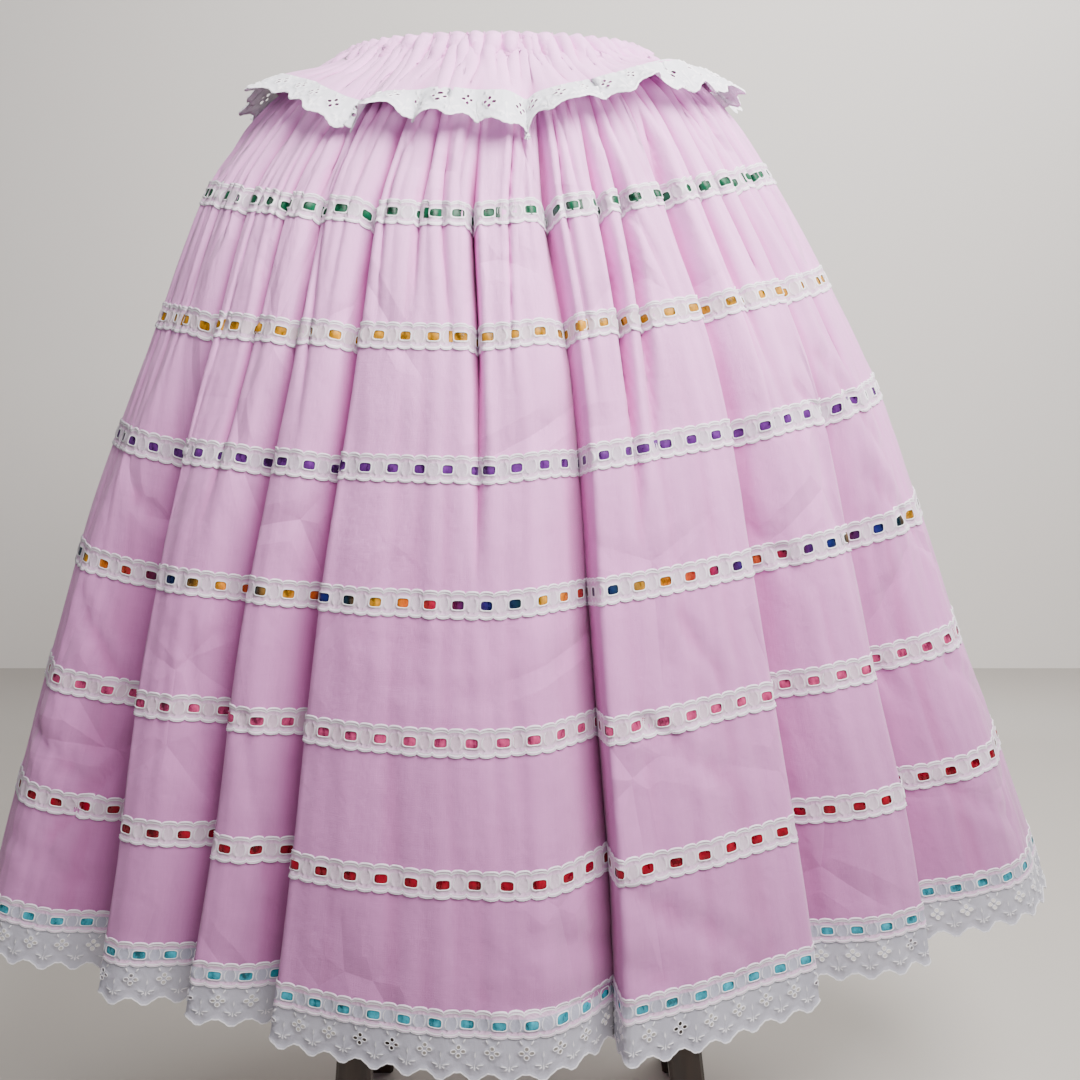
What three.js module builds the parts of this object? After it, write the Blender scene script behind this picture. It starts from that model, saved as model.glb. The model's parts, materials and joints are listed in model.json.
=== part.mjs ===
// Gathered folk skirt standing on a four-legged wooden stand.
// Millimetres, +Z up, the front of the skirt faces -Y, origin on the floor under the middle.
import * as THREE from 'three';

// ---- driving dimensions --------------------------------------------------------------------
const WAIST_HEIGHT = 1097;      // floor to the top edge of the waist
const CENTRE_X = -9;           // the skirt's axis is moved by these two, so that the origin
const CENTRE_Y = 1.21;          // lies under the middle of the whole object
const CLOTH = 1.4;              // thickness of every cloth wall
const SEAM_GAP = 0.3;           // clearance between neighbouring pieces
const CASING_END = 24;          // waist casing, measured down the cloth from its top edge
const PEPLUM_END = 73;
const PEPLUM_LACE_END = 104;
const HEM = 885.5;              // the cloth's own hem
const HEM_LACE_END = 925;
const TRIM_WIDTH = 25;
const FIRST_TRIM = 183;         // centre of the top trim, down the cloth
const TRIM_PITCH = 115;
const TRIM_NAMES = ['green', 'gold', 'purple', 'multicolour', 'rose', 'red', 'turquoise'];
const GATHERS = 56;             // small gathers round the waist
const GATHER_DEPTH = 6.5;
const GATHER_FADE = 110;        // the gathers die away over this length of cloth
const FOLDS_FULL_AT = 700;      // the large folds reach their full depth here
const YAW_DEGREES = 3;          // the hem is turned a little against the waist
const SLOPE_STEP = 2;           // length of cloth over which its slope is read
const FINE = 4;                 // steps to a degree when a free edge is measured
const SHARPEST_BEND = 0.55;     // limits how far a sharp crest's wall is carried out
const SCALLOP_DEPTH = 7;
const HEM_SCALLOPS = 132;
const PEPLUM_SCALLOPS = 76;

// Outline of the skirt, a row for each level down the cloth: how far it has dropped at the
// sides and the front, how much higher the right side hangs, its half width and half depth,
// how far its middle sways to the right, and how much the oval's corners are flattened.
const OUTLINE = [
  { along: 0, side: 0, lift: 0, front: 0, width: 120, depth: 84, sway: -10, flat: 0 },
  { along: 30, side: 15, lift: 2, front: 24, width: 140, depth: 101, sway: -11, flat: 0 },
  { along: 73, side: 32, lift: 6, front: 57, width: 172, depth: 126, sway: -13, flat: 0 },
  { along: 112, side: 60, lift: 10, front: 87, width: 199, depth: 144, sway: -15, flat: 0 },
  { along: 183, side: 113, lift: 16, front: 137, width: 237, depth: 166, sway: -18, flat: 0.02 },
  { along: 298, side: 212, lift: 31, front: 223, width: 286, depth: 190, sway: -13, flat: 0.05 },
  { along: 413, side: 312, lift: 38, front: 317, width: 334, depth: 206, sway: -10, flat: 0.08 },
  { along: 528, side: 415, lift: 36, front: 415, width: 378, depth: 219, sway: -9, flat: 0.11 },
  { along: 643, side: 521, lift: 30, front: 519, width: 420, depth: 230, sway: -5, flat: 0.14 },
  { along: 758, side: 629, lift: 24, front: 632, width: 463, depth: 240, sway: 2, flat: 0.17 },
  { along: 873, side: 739, lift: 20, front: 747, width: 506, depth: 250, sway: 7, flat: 0.2 },
  { along: 925, side: 787, lift: 18, front: 795, width: 523, depth: 254, sway: 9, flat: 0.21 },
];

// The valleys between the large folds, in degrees round from the front centre towards +X:
// where each lies at the top trim and at the hem, where it starts down the cloth, its depth at
// the hem, its half widths to the left and right, and how far its bottom leans sideways.
const VALLEYS = [
  { top: -53.5, hem: -51.7, start: 150, depth: 100, left: 28, right: 6, lean: 3 },
  { top: -32.5, hem: -37.5, start: 140, depth: 52, left: 4.5, right: 4, lean: 1.5 },
  { top: -22, hem: -28, start: 110, depth: 44, left: 4.5, right: 4, lean: 1.5 },
  { top: 7.5, hem: 4, start: 60, depth: 44, left: 6.5, right: 4, lean: 1.5 },
  { top: 37.5, hem: 32, start: 150, depth: 52, left: 4, right: 9, lean: -1.5 },
  { top: 58, hem: 48, start: 220, depth: 62, left: 5, right: 22, lean: -2 },
  { top: 102, hem: 101, start: 100, depth: 82, left: 9, right: 8, lean: 2 },
  { top: 122, hem: 120, start: 120, depth: 74, left: 8, right: 7, lean: 2 },
  { top: 139, hem: 138, start: 90, depth: 60, left: 7, right: 6, lean: 1 },
  { top: 156, hem: 157, start: 140, depth: 52, left: 6, right: 6, lean: 1 },
  { top: 174, hem: 176, start: 100, depth: 46, left: 5.5, right: 5.5, lean: -1 },
  { top: 192, hem: 193, start: 130, depth: 54, left: 6, right: 5, lean: -1 },
  { top: 210, hem: 210, start: 90, depth: 62, left: 6, right: 7, lean: -2 },
  { top: 230, hem: 231, start: 120, depth: 80, left: 8, right: 8, lean: -2 },
  { top: 258, hem: 258, start: 100, depth: 78, left: 9, right: 8, lean: -2 },
];

// How the peplum's edge hangs round the front: low corners and high stretches of its lace.
const PEPLUM_DIPS = [
  { at: -62, dip: -6, half: 12 },
  { at: -38, dip: 13, half: 13 },
  { at: -28, dip: -8, half: 9 },
  { at: -17, dip: 9, half: 9 },
  { at: 6, dip: 15, half: 15 },
  { at: 30, dip: -9, half: 18 },
  { at: 60, dip: 8, half: 14 },
  { at: 95, dip: 6, half: 16 },
  { at: 128, dip: 10, half: 14 },
  { at: 160, dip: -6, half: 16 },
  { at: 187, dip: 11, half: 15 },
  { at: 222, dip: 8, half: 17 },
  { at: 262, dip: 10, half: 14 },
];
const PEPLUM_WAVES = 22;        // ruffle waves of the peplum and its lace
const PEPLUM_WAVE_DEPTH = 5;
const PEPLUM_LIFT = 7;          // how far the peplum's edge stands off the skirt
const LACE_LIFT = 15;           // the same for the free edge of its lace
const SIDE_FLARE = 5;           // the lace stands out this much further at the two sides

// stand
const LEG = 32;
const LEG_CHAMFER = 3;
const LEG_TOP = { x: 62, y: 34 };
const LEG_FOOT = { x: 175.5, y: 130 };
const STAND_X = 11.5;           // the middle of the stand's feet, from the skirt's axis
const BOARD_THICKNESS = 22;
const BOARD_DROP = 6;           // board top below the top edge of the waist
const BOARD_CLEAR = 0.3;
const STRETCHER_HEIGHT = 470;   // centre of the stretchers above the floor
const STRETCHER = { deep: 30, thick: 18 };
const JOINT_GAP = 0.3;

const DEG = Math.PI / 180;
const WOOD = { color: 0x2e1a14, roughness: 0.45, metalness: 0 };
const COTTON = { color: 0xe6bfe0, roughness: 0.9, metalness: 0 };
const LACE = { color: 0xf4f2f8, roughness: 0.85, metalness: 0 };
const RIBBONS = {
  green: 0x147a50,
  gold: 0xe0a52c,
  purple: 0x6f4a96,
  multicolour: 0x7a4a55,
  rose: 0xdb6c92,
  red: 0xb5142c,
  turquoise: 0x5fb3ba,
};

const group = new THREE.Group();

function addPiece(name, geometry, finish) {
  const mesh = new THREE.Mesh(geometry, new THREE.MeshStandardMaterial(finish));
  mesh.name = name;
  mesh.position.set(CENTRE_X, CENTRE_Y, WAIST_HEIGHT);
  group.add(mesh);
}

// ---- the skirt's surface -------------------------------------------------------------------

// A smooth curve through one column of OUTLINE.
function outlineAt(along, column) {
  const last = OUTLINE.length - 1;
  let i = 0;
  while (i < last - 1 && OUTLINE[i + 1].along < along) i += 1;
  const slope = (k) => {
    const a = OUTLINE[Math.max(k - 1, 0)];
    const b = OUTLINE[Math.min(k + 1, last)];
    return (b[column] - a[column]) / (b.along - a.along);
  };
  const from = OUTLINE[i];
  const to = OUTLINE[i + 1];
  const span = to.along - from.along;
  const t = (along - from.along) / span;
  const rise = to[column] - from[column];
  const m0 = slope(i) * span;
  const m1 = slope(i + 1) * span;
  return from[column] + t * m0 + t * t * (3 * rise - 2 * m0 - m1) + t * t * t * (m0 + m1 - 2 * rise);
}

const clamp = (value) => Math.min(1, Math.max(0, value));
const easeInOut = (value) => clamp(value) ** 2 * (3 - 2 * clamp(value));
const turned = (degrees) => ((degrees + 180) % 360 + 360) % 360 - 180;

// A soft hump, 1 in the middle and 0 from the given half width outwards.
function hump(distance, half) {
  return Math.cos(0.5 * Math.PI * Math.min(1, Math.abs(distance) / half)) ** 2;
}

function valleyCentre(valley, along) {
  const down = clamp((along - FIRST_TRIM) / (HEM_LACE_END - FIRST_TRIM));
  return valley.top + (valley.hem - valley.top) * down;
}

function valleyShare(valley, along) {
  const grown = easeInOut((along - valley.start) / (FOLDS_FULL_AT - valley.start));
  const early = clamp((along - 0.4 * valley.start) / 150);
  return 0.82 * grown + 0.18 * early;
}

// The oval that the fold crests lie on, pushed in by a distance and turned round the axis.
function ovalPoint(degrees, along, inward, drop) {
  const angle = degrees * DEG;
  const width = outlineAt(along, 'width');
  const depth = outlineAt(along, 'depth');
  const pinch = 1 - outlineAt(along, 'flat') * Math.sin(2 * angle) ** 2;
  const normal = new THREE.Vector2(depth * Math.sin(angle), -width * Math.cos(angle)).normalize();
  const x = width * Math.sin(angle) - normal.x * inward;
  const y = -depth * Math.cos(angle) * pinch - normal.y * inward;
  const yaw = YAW_DEGREES * DEG * clamp(along / HEM_LACE_END);
  return new THREE.Vector3(
    x * Math.cos(yaw) - y * Math.sin(yaw) + outlineAt(along, 'sway'),
    x * Math.sin(yaw) + y * Math.cos(yaw),
    -drop,
  );
}

function dropAt(degrees, along) {
  const front = Math.cos(degrees * DEG) ** 2;
  const right = Math.max(0, Math.sin(degrees * DEG));
  const level = outlineAt(along, 'side') * (1 - front) + outlineAt(along, 'front') * front;
  return level - outlineAt(along, 'lift') * right;
}

function gatherInset(degrees, along) {
  const fade = Math.exp(-((Math.max(0, along) / GATHER_FADE) ** 1.5));
  return 0.5 * GATHER_DEPTH * fade * (1 - Math.cos(GATHERS * degrees * DEG));
}

function skirtPoint(degrees, along) {
  let inward = gatherInset(degrees, along);
  let aside = 0;
  for (const valley of VALLEYS) {
    const away = turned(degrees - valleyCentre(valley, along));
    const share = valleyShare(valley, along) * hump(away, away < 0 ? valley.left : valley.right);
    inward += valley.depth * share;
    aside += valley.lean * share;
  }
  return ovalPoint(degrees + aside, along, inward, dropAt(degrees, along));
}

// The peplum and its lace hang outside the skirt's crests.
function peplumPoint(degrees, along) {
  const down = clamp((along - CASING_END) / (PEPLUM_END - CASING_END)) ** 1.7;
  const laced = clamp((along - PEPLUM_END) / (PEPLUM_LACE_END - PEPLUM_END));
  const sideways = Math.abs(Math.sin(degrees * DEG)) ** 6;
  const wave = 0.5 + 0.5 * Math.sin(PEPLUM_WAVES * degrees * DEG + 2 * Math.sin(3 * degrees * DEG));
  const lift = PEPLUM_LIFT * down + (LACE_LIFT - PEPLUM_LIFT + SIDE_FLARE * sideways) * laced;
  const ruffle = PEPLUM_WAVE_DEPTH * wave * down * (1 + laced);
  const inset = gatherInset(degrees, along) * (1 - easeInOut(down / 0.5));
  let dip = 0;
  for (const row of PEPLUM_DIPS) {
    dip += row.dip * hump(turned(degrees - row.at), row.half);
  }
  const drop = dropAt(degrees, along) + dip * down * (0.5 + 0.5 * laced);
  return ovalPoint(degrees, along, inset - lift - ruffle, drop);
}

// ---- walls through rings of points ---------------------------------------------------------

// The angles of a level's points, once round from the left side seam, which lies at -90.
const LEFT_SEAM = -90;
const RIGHT_SEAM = 90;

function gatherStations() {
  const count = 2 * GATHERS;
  return Array.from({ length: count }, (_, i) => LEFT_SEAM + (360 * i) / count);
}

const GAP_STEP = 11;            // degrees between points on the face of a broad fold

// Points across each valley and on the broad faces between, from one seam to the next.
function foldStationsBetween(along, from, to) {
  const inside = VALLEYS.filter((valley) => valley.hem > from && valley.hem < to);
  const degrees = [from];
  let edge = () => from;
  const fillTo = (next) => {
    const broad = next(HEM_LACE_END) - edge(HEM_LACE_END);
    const count = Math.max(1, Math.round(broad / GAP_STEP)) - 1;
    for (let i = 1; i <= count; i += 1) {
      const t = i / (count + 1);
      degrees.push(edge(along) * (1 - t) + next(along) * t);
    }
  };
  for (const valley of inside) {
    fillTo((level) => valleyCentre(valley, level) - valley.left);
    const centre = valleyCentre(valley, along);
    degrees.push(centre - valley.left, centre - 0.5 * valley.left, centre);
    degrees.push(centre + 0.5 * valley.right, centre + valley.right);
    edge = (level) => valleyCentre(valley, level) + valley.right;
  }
  fillTo(() => to);
  return degrees;
}

function foldStations(along) {
  return [
    ...foldStationsBetween(along, LEFT_SEAM, RIGHT_SEAM),
    ...foldStationsBetween(along, RIGHT_SEAM, LEFT_SEAM + 360),
  ];
}

// One whole level of points, moved out from the surface by `out`, square to the cloth.
function levelRing(surface, along, degrees, out) {
  const near = degrees.map((angle) => surface(angle, along));
  const count = degrees.length;
  const points = near.map((point, i) => {
    const down = surface(degrees[i], along + SLOPE_STEP).sub(point).normalize();
    const to = near[(i + 1) % count].clone().sub(point).normalize();
    const from = point.clone().sub(near[(i + count - 1) % count]).normalize();
    const across = to.clone().add(from).normalize();
    const bend = Math.max(SHARPEST_BEND, across.dot(to));
    const normal = down.cross(across).normalize();
    return point.clone().addScaledVector(normal, out / bend);
  });
  return { degrees, points };
}

// The stretch of a ring from one seam to the other, held back from both by half a seam gap.
function panelOf(ring, from) {
  const start = ring.degrees.indexOf(from);
  const end = ring.degrees.indexOf(from === LEFT_SEAM ? RIGHT_SEAM : LEFT_SEAM);
  const size = ring.degrees.length;
  const count = (end - start + size) % size + 1;
  const pick = Array.from({ length: count }, (_, i) => (start + i) % size);
  const degrees = pick.map((k) => (k < start ? ring.degrees[k] + 360 : ring.degrees[k]));
  const points = pick.map((k) => ring.points[k].clone());
  const holdBack = (end, next) => end.add(next.clone().sub(end).setLength(SEAM_GAP / 2));
  holdBack(points[0], points[1]);
  holdBack(points[count - 1], points[count - 2]);
  return { degrees, points };
}

// Triangles between two levels, which may have different numbers of points.
function zip(upper, lower, upperStart, lowerStart, closed, faces) {
  const a = upper.degrees;
  const b = lower.degrees;
  const aCount = closed ? a.length : a.length - 1;
  const bCount = closed ? b.length : b.length - 1;
  const angle = (list, k) => (k < list.length ? list[k] : list[k - list.length] + 360);
  let i = 0;
  let j = 0;
  while (i < aCount || j < bCount) {
    const ai = upperStart + (i % a.length);
    const bj = lowerStart + (j % b.length);
    const middleA = i < aCount ? angle(a, i) + angle(a, i + 1) : Infinity;
    const middleB = j < bCount ? angle(b, j) + angle(b, j + 1) : Infinity;
    if (middleA < middleB) {
      faces.push([ai, bj, upperStart + ((i + 1) % a.length)]);
      i += 1;
    } else {
      faces.push([ai, bj, lowerStart + ((j + 1) % b.length)]);
      j += 1;
    }
  }
}

// A closed wall from matching outer and inner levels, listed from the top down.
function wall(outer, inner, closed) {
  const positions = [];
  const starts = [];
  for (const ring of [...outer, ...inner]) {
    starts.push(positions.length / 3);
    for (const point of ring.points) positions.push(point.x, point.y, point.z);
  }
  const faces = [];
  const count = outer.length;
  const innerFaces = [];
  for (let k = 0; k + 1 < count; k += 1) {
    zip(outer[k], outer[k + 1], starts[k], starts[k + 1], closed, faces);
    zip(inner[k], inner[k + 1], starts[count + k], starts[count + k + 1], closed, innerFaces);
  }
  for (const [a, b, c] of innerFaces) faces.push([a, c, b]);
  const rim = (k, flip) => {
    const size = outer[k].points.length;
    const steps = closed ? size : size - 1;
    for (let i = 0; i < steps; i += 1) {
      const next = (i + 1) % size;
      const o = starts[k];
      const n = starts[count + k];
      const pair = [[n + i, o + i, o + next], [n + i, o + next, n + next]];
      for (const [a, b, c] of pair) faces.push(flip ? [a, c, b] : [a, b, c]);
    }
  };
  rim(0, false);
  rim(count - 1, true);
  if (!closed) {
    for (let k = 0; k + 1 < count; k += 1) {
      const end = (ring, atEnd) => (atEnd ? ring.points.length - 1 : 0);
      for (const atEnd of [false, true]) {
        const o0 = starts[k] + end(outer[k], atEnd);
        const o1 = starts[k + 1] + end(outer[k + 1], atEnd);
        const n0 = starts[count + k] + end(inner[k], atEnd);
        const n1 = starts[count + k + 1] + end(inner[k + 1], atEnd);
        const pair = [[o0, n0, o1], [n0, n1, o1]];
        for (const [a, b, c] of pair) faces.push(atEnd ? [a, c, b] : [a, b, c]);
      }
    }
  }
  const geometry = new THREE.BufferGeometry();
  geometry.setAttribute('position', new THREE.Float32BufferAttribute(positions, 3));
  geometry.setIndex(faces.flat());
  return geometry;
}

// The levels of a wall that lies `out` from the surface, each { along, stations }.
function rings(surface, levels, out) {
  return levels.map(({ along, stations }) => levelRing(surface, along, stations(along), out));
}

const gatherLevel = (along) => ({ along, stations: gatherStations });
const foldLevel = (along) => ({ along, stations: foldStations });

// ---- skirt panels and what is sewn to them -------------------------------------------------
const trims = TRIM_NAMES.map((name, i) => {
  const centre = FIRST_TRIM + i * TRIM_PITCH;
  return { name, top: centre - TRIM_WIDTH / 2, bottom: centre + TRIM_WIDTH / 2 };
});

const panelLevels = [
  gatherLevel(CASING_END + SEAM_GAP),
  gatherLevel(62),
  gatherLevel(112),
  gatherLevel(148),
  ...trims.flatMap(({ top, bottom }) => [foldLevel(top), foldLevel(bottom)]),
];

for (const [name, from] of [['skirt_front', LEFT_SEAM], ['skirt_back', RIGHT_SEAM]]) {
  const outer = rings(skirtPoint, panelLevels, CLOTH).map((ring) => panelOf(ring, from));
  const inner = rings(skirtPoint, panelLevels, 0).map((ring) => panelOf(ring, from));
  addPiece(name, wall(outer, inner, false), COTTON);
}

for (const { name, top, bottom } of trims) {
  const edges = [foldLevel(top), foldLevel(bottom)];
  const inside = CLOTH + SEAM_GAP;
  const outer = rings(skirtPoint, edges, inside + CLOTH);
  const finish = { color: RIBBONS[name], roughness: 0.6, metalness: 0 };
  addPiece(`trim_${name}`, wall(outer, rings(skirtPoint, edges, inside), true), finish);
}

// Lace: its sewn edge follows the cloth, its free edge is scalloped at even lengths.
function laceWall(surface, top, bottom, sewnStations, scallops, out) {
  const fine = Array.from({ length: 360 * FINE + 1 }, (_, i) => LEFT_SEAM + i / FINE);
  const edge = fine.map((angle) => surface(angle, bottom));
  const lengths = [0];
  for (let i = 1; i < edge.length; i += 1) {
    lengths.push(lengths[i - 1] + edge[i].distanceTo(edge[i - 1]));
  }
  const total = lengths[lengths.length - 1];
  const degrees = [];
  let k = 0;
  for (let i = 0; i < 2 * scallops; i += 1) {
    const wanted = (total * i) / (2 * scallops);
    while (lengths[k + 1] < wanted) k += 1;
    const t = (wanted - lengths[k]) / (lengths[k + 1] - lengths[k]);
    degrees.push(fine[k] + t / FINE);
  }
  const scalloped = (distance) => {
    const ring = levelRing(surface, bottom, degrees, distance);
    ring.points.forEach((point, i) => {
      if (i % 2 === 1) return;
      const notch = surface(degrees[i], bottom - SCALLOP_DEPTH);
      point.add(notch.sub(surface(degrees[i], bottom)));
    });
    return ring;
  };
  const sides = [out + CLOTH, out].map((distance) => [
    levelRing(surface, top, sewnStations(top), distance),
    scalloped(distance),
  ]);
  return wall(sides[0], sides[1], true);
}

addPiece(
  'hem_lace',
  laceWall(skirtPoint, HEM + SEAM_GAP, HEM_LACE_END, foldStations, HEM_SCALLOPS, 0),
  LACE,
);

// ---- waist casing, peplum and its lace -----------------------------------------------------
const casingEdges = [gatherLevel(0), gatherLevel(CASING_END)];
const casingOuter = rings(skirtPoint, casingEdges, 2 * CLOTH + SEAM_GAP);
addPiece('waist_casing', wall(casingOuter, rings(skirtPoint, casingEdges, 0), true), COTTON);

const peplumOut = CLOTH + 2 * SEAM_GAP;
const peplumLevels = [CASING_END + SEAM_GAP, 48, PEPLUM_END].map(gatherLevel);
const peplumOuter = rings(peplumPoint, peplumLevels, peplumOut + CLOTH);
const peplumInner = rings(peplumPoint, peplumLevels, peplumOut);
addPiece('peplum', wall(peplumOuter, peplumInner, true), COTTON);

const peplumLaceTop = PEPLUM_END + SEAM_GAP;
addPiece(
  'peplum_lace',
  laceWall(
    peplumPoint,
    peplumLaceTop,
    PEPLUM_LACE_END,
    gatherStations,
    PEPLUM_SCALLOPS,
    peplumOut,
  ),
  LACE,
);

// ---- stand ---------------------------------------------------------------------------------

// A straight bar between two ends, each a flat outline with the same number of corners.
function bar(startCorners, endCorners) {
  const size = startCorners.length;
  const positions = [...startCorners, ...endCorners].flatMap((corner) => corner.toArray());
  const faces = [];
  for (let i = 0; i < size; i += 1) {
    const next = (i + 1) % size;
    faces.push([i, next, size + next], [i, size + next, size + i]);
  }
  for (let i = 1; i + 1 < size; i += 1) {
    faces.push([0, i + 1, i], [size, size + i, size + i + 1]);
  }
  const geometry = new THREE.BufferGeometry();
  geometry.setAttribute('position', new THREE.Float32BufferAttribute(positions, 3));
  geometry.setIndex(faces.flat());
  return geometry;
}

function chamferedSquare(x, y, z) {
  const half = LEG / 2;
  const cut = half - LEG_CHAMFER;
  const corners = [
    [half, -cut], [half, cut], [cut, half], [-cut, half],
    [-half, cut], [-half, -cut], [-cut, -half], [cut, -half],
  ];
  return corners.map(([dx, dy]) => new THREE.Vector3(x + dx, y + dy, z));
}

const boardTop = -BOARD_DROP;
const boardUnder = boardTop - BOARD_THICKNESS;
const floor = -WAIST_HEIGHT;
const legTopZ = boardUnder - JOINT_GAP;

// The middle of a leg at a height, for the leg on the given side and end.
function legAt(side, end, z) {
  const t = (z - floor) / (legTopZ - floor);
  const blend = THREE.MathUtils.lerp;
  const middle = blend(STAND_X, outlineAt(0, 'sway'), t);
  return {
    x: middle + side * blend(LEG_FOOT.x, LEG_TOP.x, t),
    y: end * blend(LEG_FOOT.y, LEG_TOP.y, t),
  };
}

const SIDES = [['left', -1], ['right', 1]];
const ENDS = [['front', -1], ['back', 1]];
for (const [endName, end] of ENDS) {
  for (const [sideName, side] of SIDES) {
    const foot = legAt(side, end, floor);
    const top = legAt(side, end, legTopZ);
    const geometry = bar(
      chamferedSquare(foot.x, foot.y, floor),
      chamferedSquare(top.x, top.y, legTopZ),
    );
    addPiece(`leg_${endName}_${sideName}`, geometry, WOOD);
  }
}

// Stretchers run between the legs' faces, cut to the legs' slope.
const stretcherZ = floor + STRETCHER_HEIGHT;
const upZ = stretcherZ + STRETCHER.deep / 2;
const downZ = stretcherZ - STRETCHER.deep / 2;
for (const [endName, end] of ENDS) {
  const face = (side, z) => legAt(side, end, z).x - side * (LEG / 2 + JOINT_GAP);
  const middle = legAt(1, end, stretcherZ).y;
  const corners = (side) => [
    new THREE.Vector3(face(side, downZ), middle - STRETCHER.thick / 2, downZ),
    new THREE.Vector3(face(side, downZ), middle + STRETCHER.thick / 2, downZ),
    new THREE.Vector3(face(side, upZ), middle + STRETCHER.thick / 2, upZ),
    new THREE.Vector3(face(side, upZ), middle - STRETCHER.thick / 2, upZ),
  ];
  addPiece(`stretcher_${endName}`, bar(corners(-1), corners(1)), WOOD);
}
for (const [sideName, side] of SIDES) {
  const face = (end, z) => legAt(side, end, z).y - end * (LEG / 2 + JOINT_GAP);
  const middle = legAt(side, 1, stretcherZ).x;
  const corners = (end) => [
    new THREE.Vector3(middle - STRETCHER.thick / 2, face(end, downZ), downZ),
    new THREE.Vector3(middle - STRETCHER.thick / 2, face(end, upZ), upZ),
    new THREE.Vector3(middle + STRETCHER.thick / 2, face(end, upZ), upZ),
    new THREE.Vector3(middle + STRETCHER.thick / 2, face(end, downZ), downZ),
  ];
  addPiece(`stretcher_${sideName}`, bar(corners(-1), corners(1)), WOOD);
}

// The oval board that fills the waist, just inside the deepest gathers of the casing.
function insideCasing(column, dropColumn) {
  const t = BOARD_DROP / outlineAt(CASING_END, dropColumn);
  const half = outlineAt(0, column) * (1 - t) + outlineAt(CASING_END, column) * t;
  return half - GATHER_DEPTH - BOARD_CLEAR;
}

const boardShape = new THREE.Shape();
boardShape.absellipse(
  outlineAt(0, 'sway'),
  0,
  insideCasing('width', 'side'),
  insideCasing('depth', 'front'),
  0,
  2 * Math.PI,
);
const board = new THREE.ExtrudeGeometry(boardShape, {
  depth: BOARD_THICKNESS,
  bevelEnabled: false,
  curveSegments: 28,
});
board.translate(0, 0, boardUnder);
addPiece('stand_top', board, WOOD);

export default group;
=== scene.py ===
"""A full gathered folk skirt on a wooden stand: pink cotton with a short peplum, white eyelet
lace, and seven rows of beading lace threaded with satin ribbon. Lengths are in millimetres
until a mesh is made, and in metres from there on."""

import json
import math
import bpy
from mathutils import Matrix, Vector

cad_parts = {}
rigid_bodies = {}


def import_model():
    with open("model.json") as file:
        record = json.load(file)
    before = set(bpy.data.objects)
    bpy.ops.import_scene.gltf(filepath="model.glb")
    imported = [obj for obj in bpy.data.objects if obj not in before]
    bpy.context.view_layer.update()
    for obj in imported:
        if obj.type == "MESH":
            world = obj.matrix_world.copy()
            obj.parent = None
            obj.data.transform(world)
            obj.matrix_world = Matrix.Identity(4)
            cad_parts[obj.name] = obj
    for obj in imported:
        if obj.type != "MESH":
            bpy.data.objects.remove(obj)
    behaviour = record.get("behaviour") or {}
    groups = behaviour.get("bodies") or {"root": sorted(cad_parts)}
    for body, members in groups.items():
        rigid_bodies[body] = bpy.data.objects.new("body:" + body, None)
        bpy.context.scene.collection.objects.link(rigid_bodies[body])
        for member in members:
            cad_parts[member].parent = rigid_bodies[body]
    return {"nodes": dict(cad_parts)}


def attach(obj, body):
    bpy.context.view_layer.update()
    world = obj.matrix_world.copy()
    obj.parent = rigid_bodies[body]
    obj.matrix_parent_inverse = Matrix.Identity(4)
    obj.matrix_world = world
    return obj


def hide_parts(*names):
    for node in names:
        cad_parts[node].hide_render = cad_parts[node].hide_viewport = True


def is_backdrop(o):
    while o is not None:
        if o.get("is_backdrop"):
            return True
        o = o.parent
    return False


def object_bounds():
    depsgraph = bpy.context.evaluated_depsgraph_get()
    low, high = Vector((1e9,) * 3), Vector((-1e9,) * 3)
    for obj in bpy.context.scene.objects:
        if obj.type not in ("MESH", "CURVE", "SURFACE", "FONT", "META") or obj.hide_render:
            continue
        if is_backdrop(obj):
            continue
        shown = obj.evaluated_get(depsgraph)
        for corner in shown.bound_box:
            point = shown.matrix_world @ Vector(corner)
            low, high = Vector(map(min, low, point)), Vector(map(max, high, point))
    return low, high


bl_info = {
    "name": "Gathered folk skirt",
    "version": (1, 0, 0),
    "blender": (4, 5, 0),
    "location": "3D View > Sidebar > Skirt",
    "description": "Builds a gathered skirt with eyelet and beading lace on its stand",
    "category": "Add Mesh",
}

import bpy
import numpy as np
from mathutils import Vector
from mathutils.geometry import delaunay_2d_cdt

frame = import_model()
CAD_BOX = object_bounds()

# ---- the skirt's own sizes, in millimetres -------------------------------------------------
WAIST_HEIGHT = 1097.0
CENTRE = (-9.0, 1.21)
CASING_END = 24.0
PEPLUM_END = 73.0
PEPLUM_LACE_END = 104.0
HEM = 885.5
HEM_LACE_END = 925.0
FIRST_TRIM = 183.0
TRIM_PITCH = 115.0
YAW_DEGREES = 3.0
FOLDS_FULL_AT = 700.0
LEFT_SEAM = -90.0
RIGHT_SEAM = 90.0
ALL_ROUND = (LEFT_SEAM, LEFT_SEAM + 360.0)

# along the cloth, drop at the side, lift of the right side, drop at the front, half width,
# half depth, sway to the right, flattening of the corners
OUTLINE_COLUMNS = ("along", "side", "lift", "front", "width", "depth", "sway", "flat")
OUTLINE = np.array([
    (0, 0, 0, 0, 120, 84, -10, 0),
    (30, 15, 2, 24, 140, 101, -11, 0),
    (73, 32, 6, 57, 172, 126, -13, 0),
    (112, 60, 10, 87, 199, 144, -15, 0),
    (183, 113, 16, 137, 237, 166, -18, 0.02),
    (298, 212, 31, 223, 286, 190, -13, 0.05),
    (413, 312, 38, 317, 334, 206, -10, 0.08),
    (528, 415, 36, 415, 378, 219, -9, 0.11),
    (643, 521, 30, 519, 420, 230, -5, 0.14),
    (758, 629, 24, 632, 463, 240, 2, 0.17),
    (873, 739, 20, 747, 506, 250, 7, 0.2),
    (925, 787, 18, 795, 523, 254, 9, 0.21),
], float)

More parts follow.
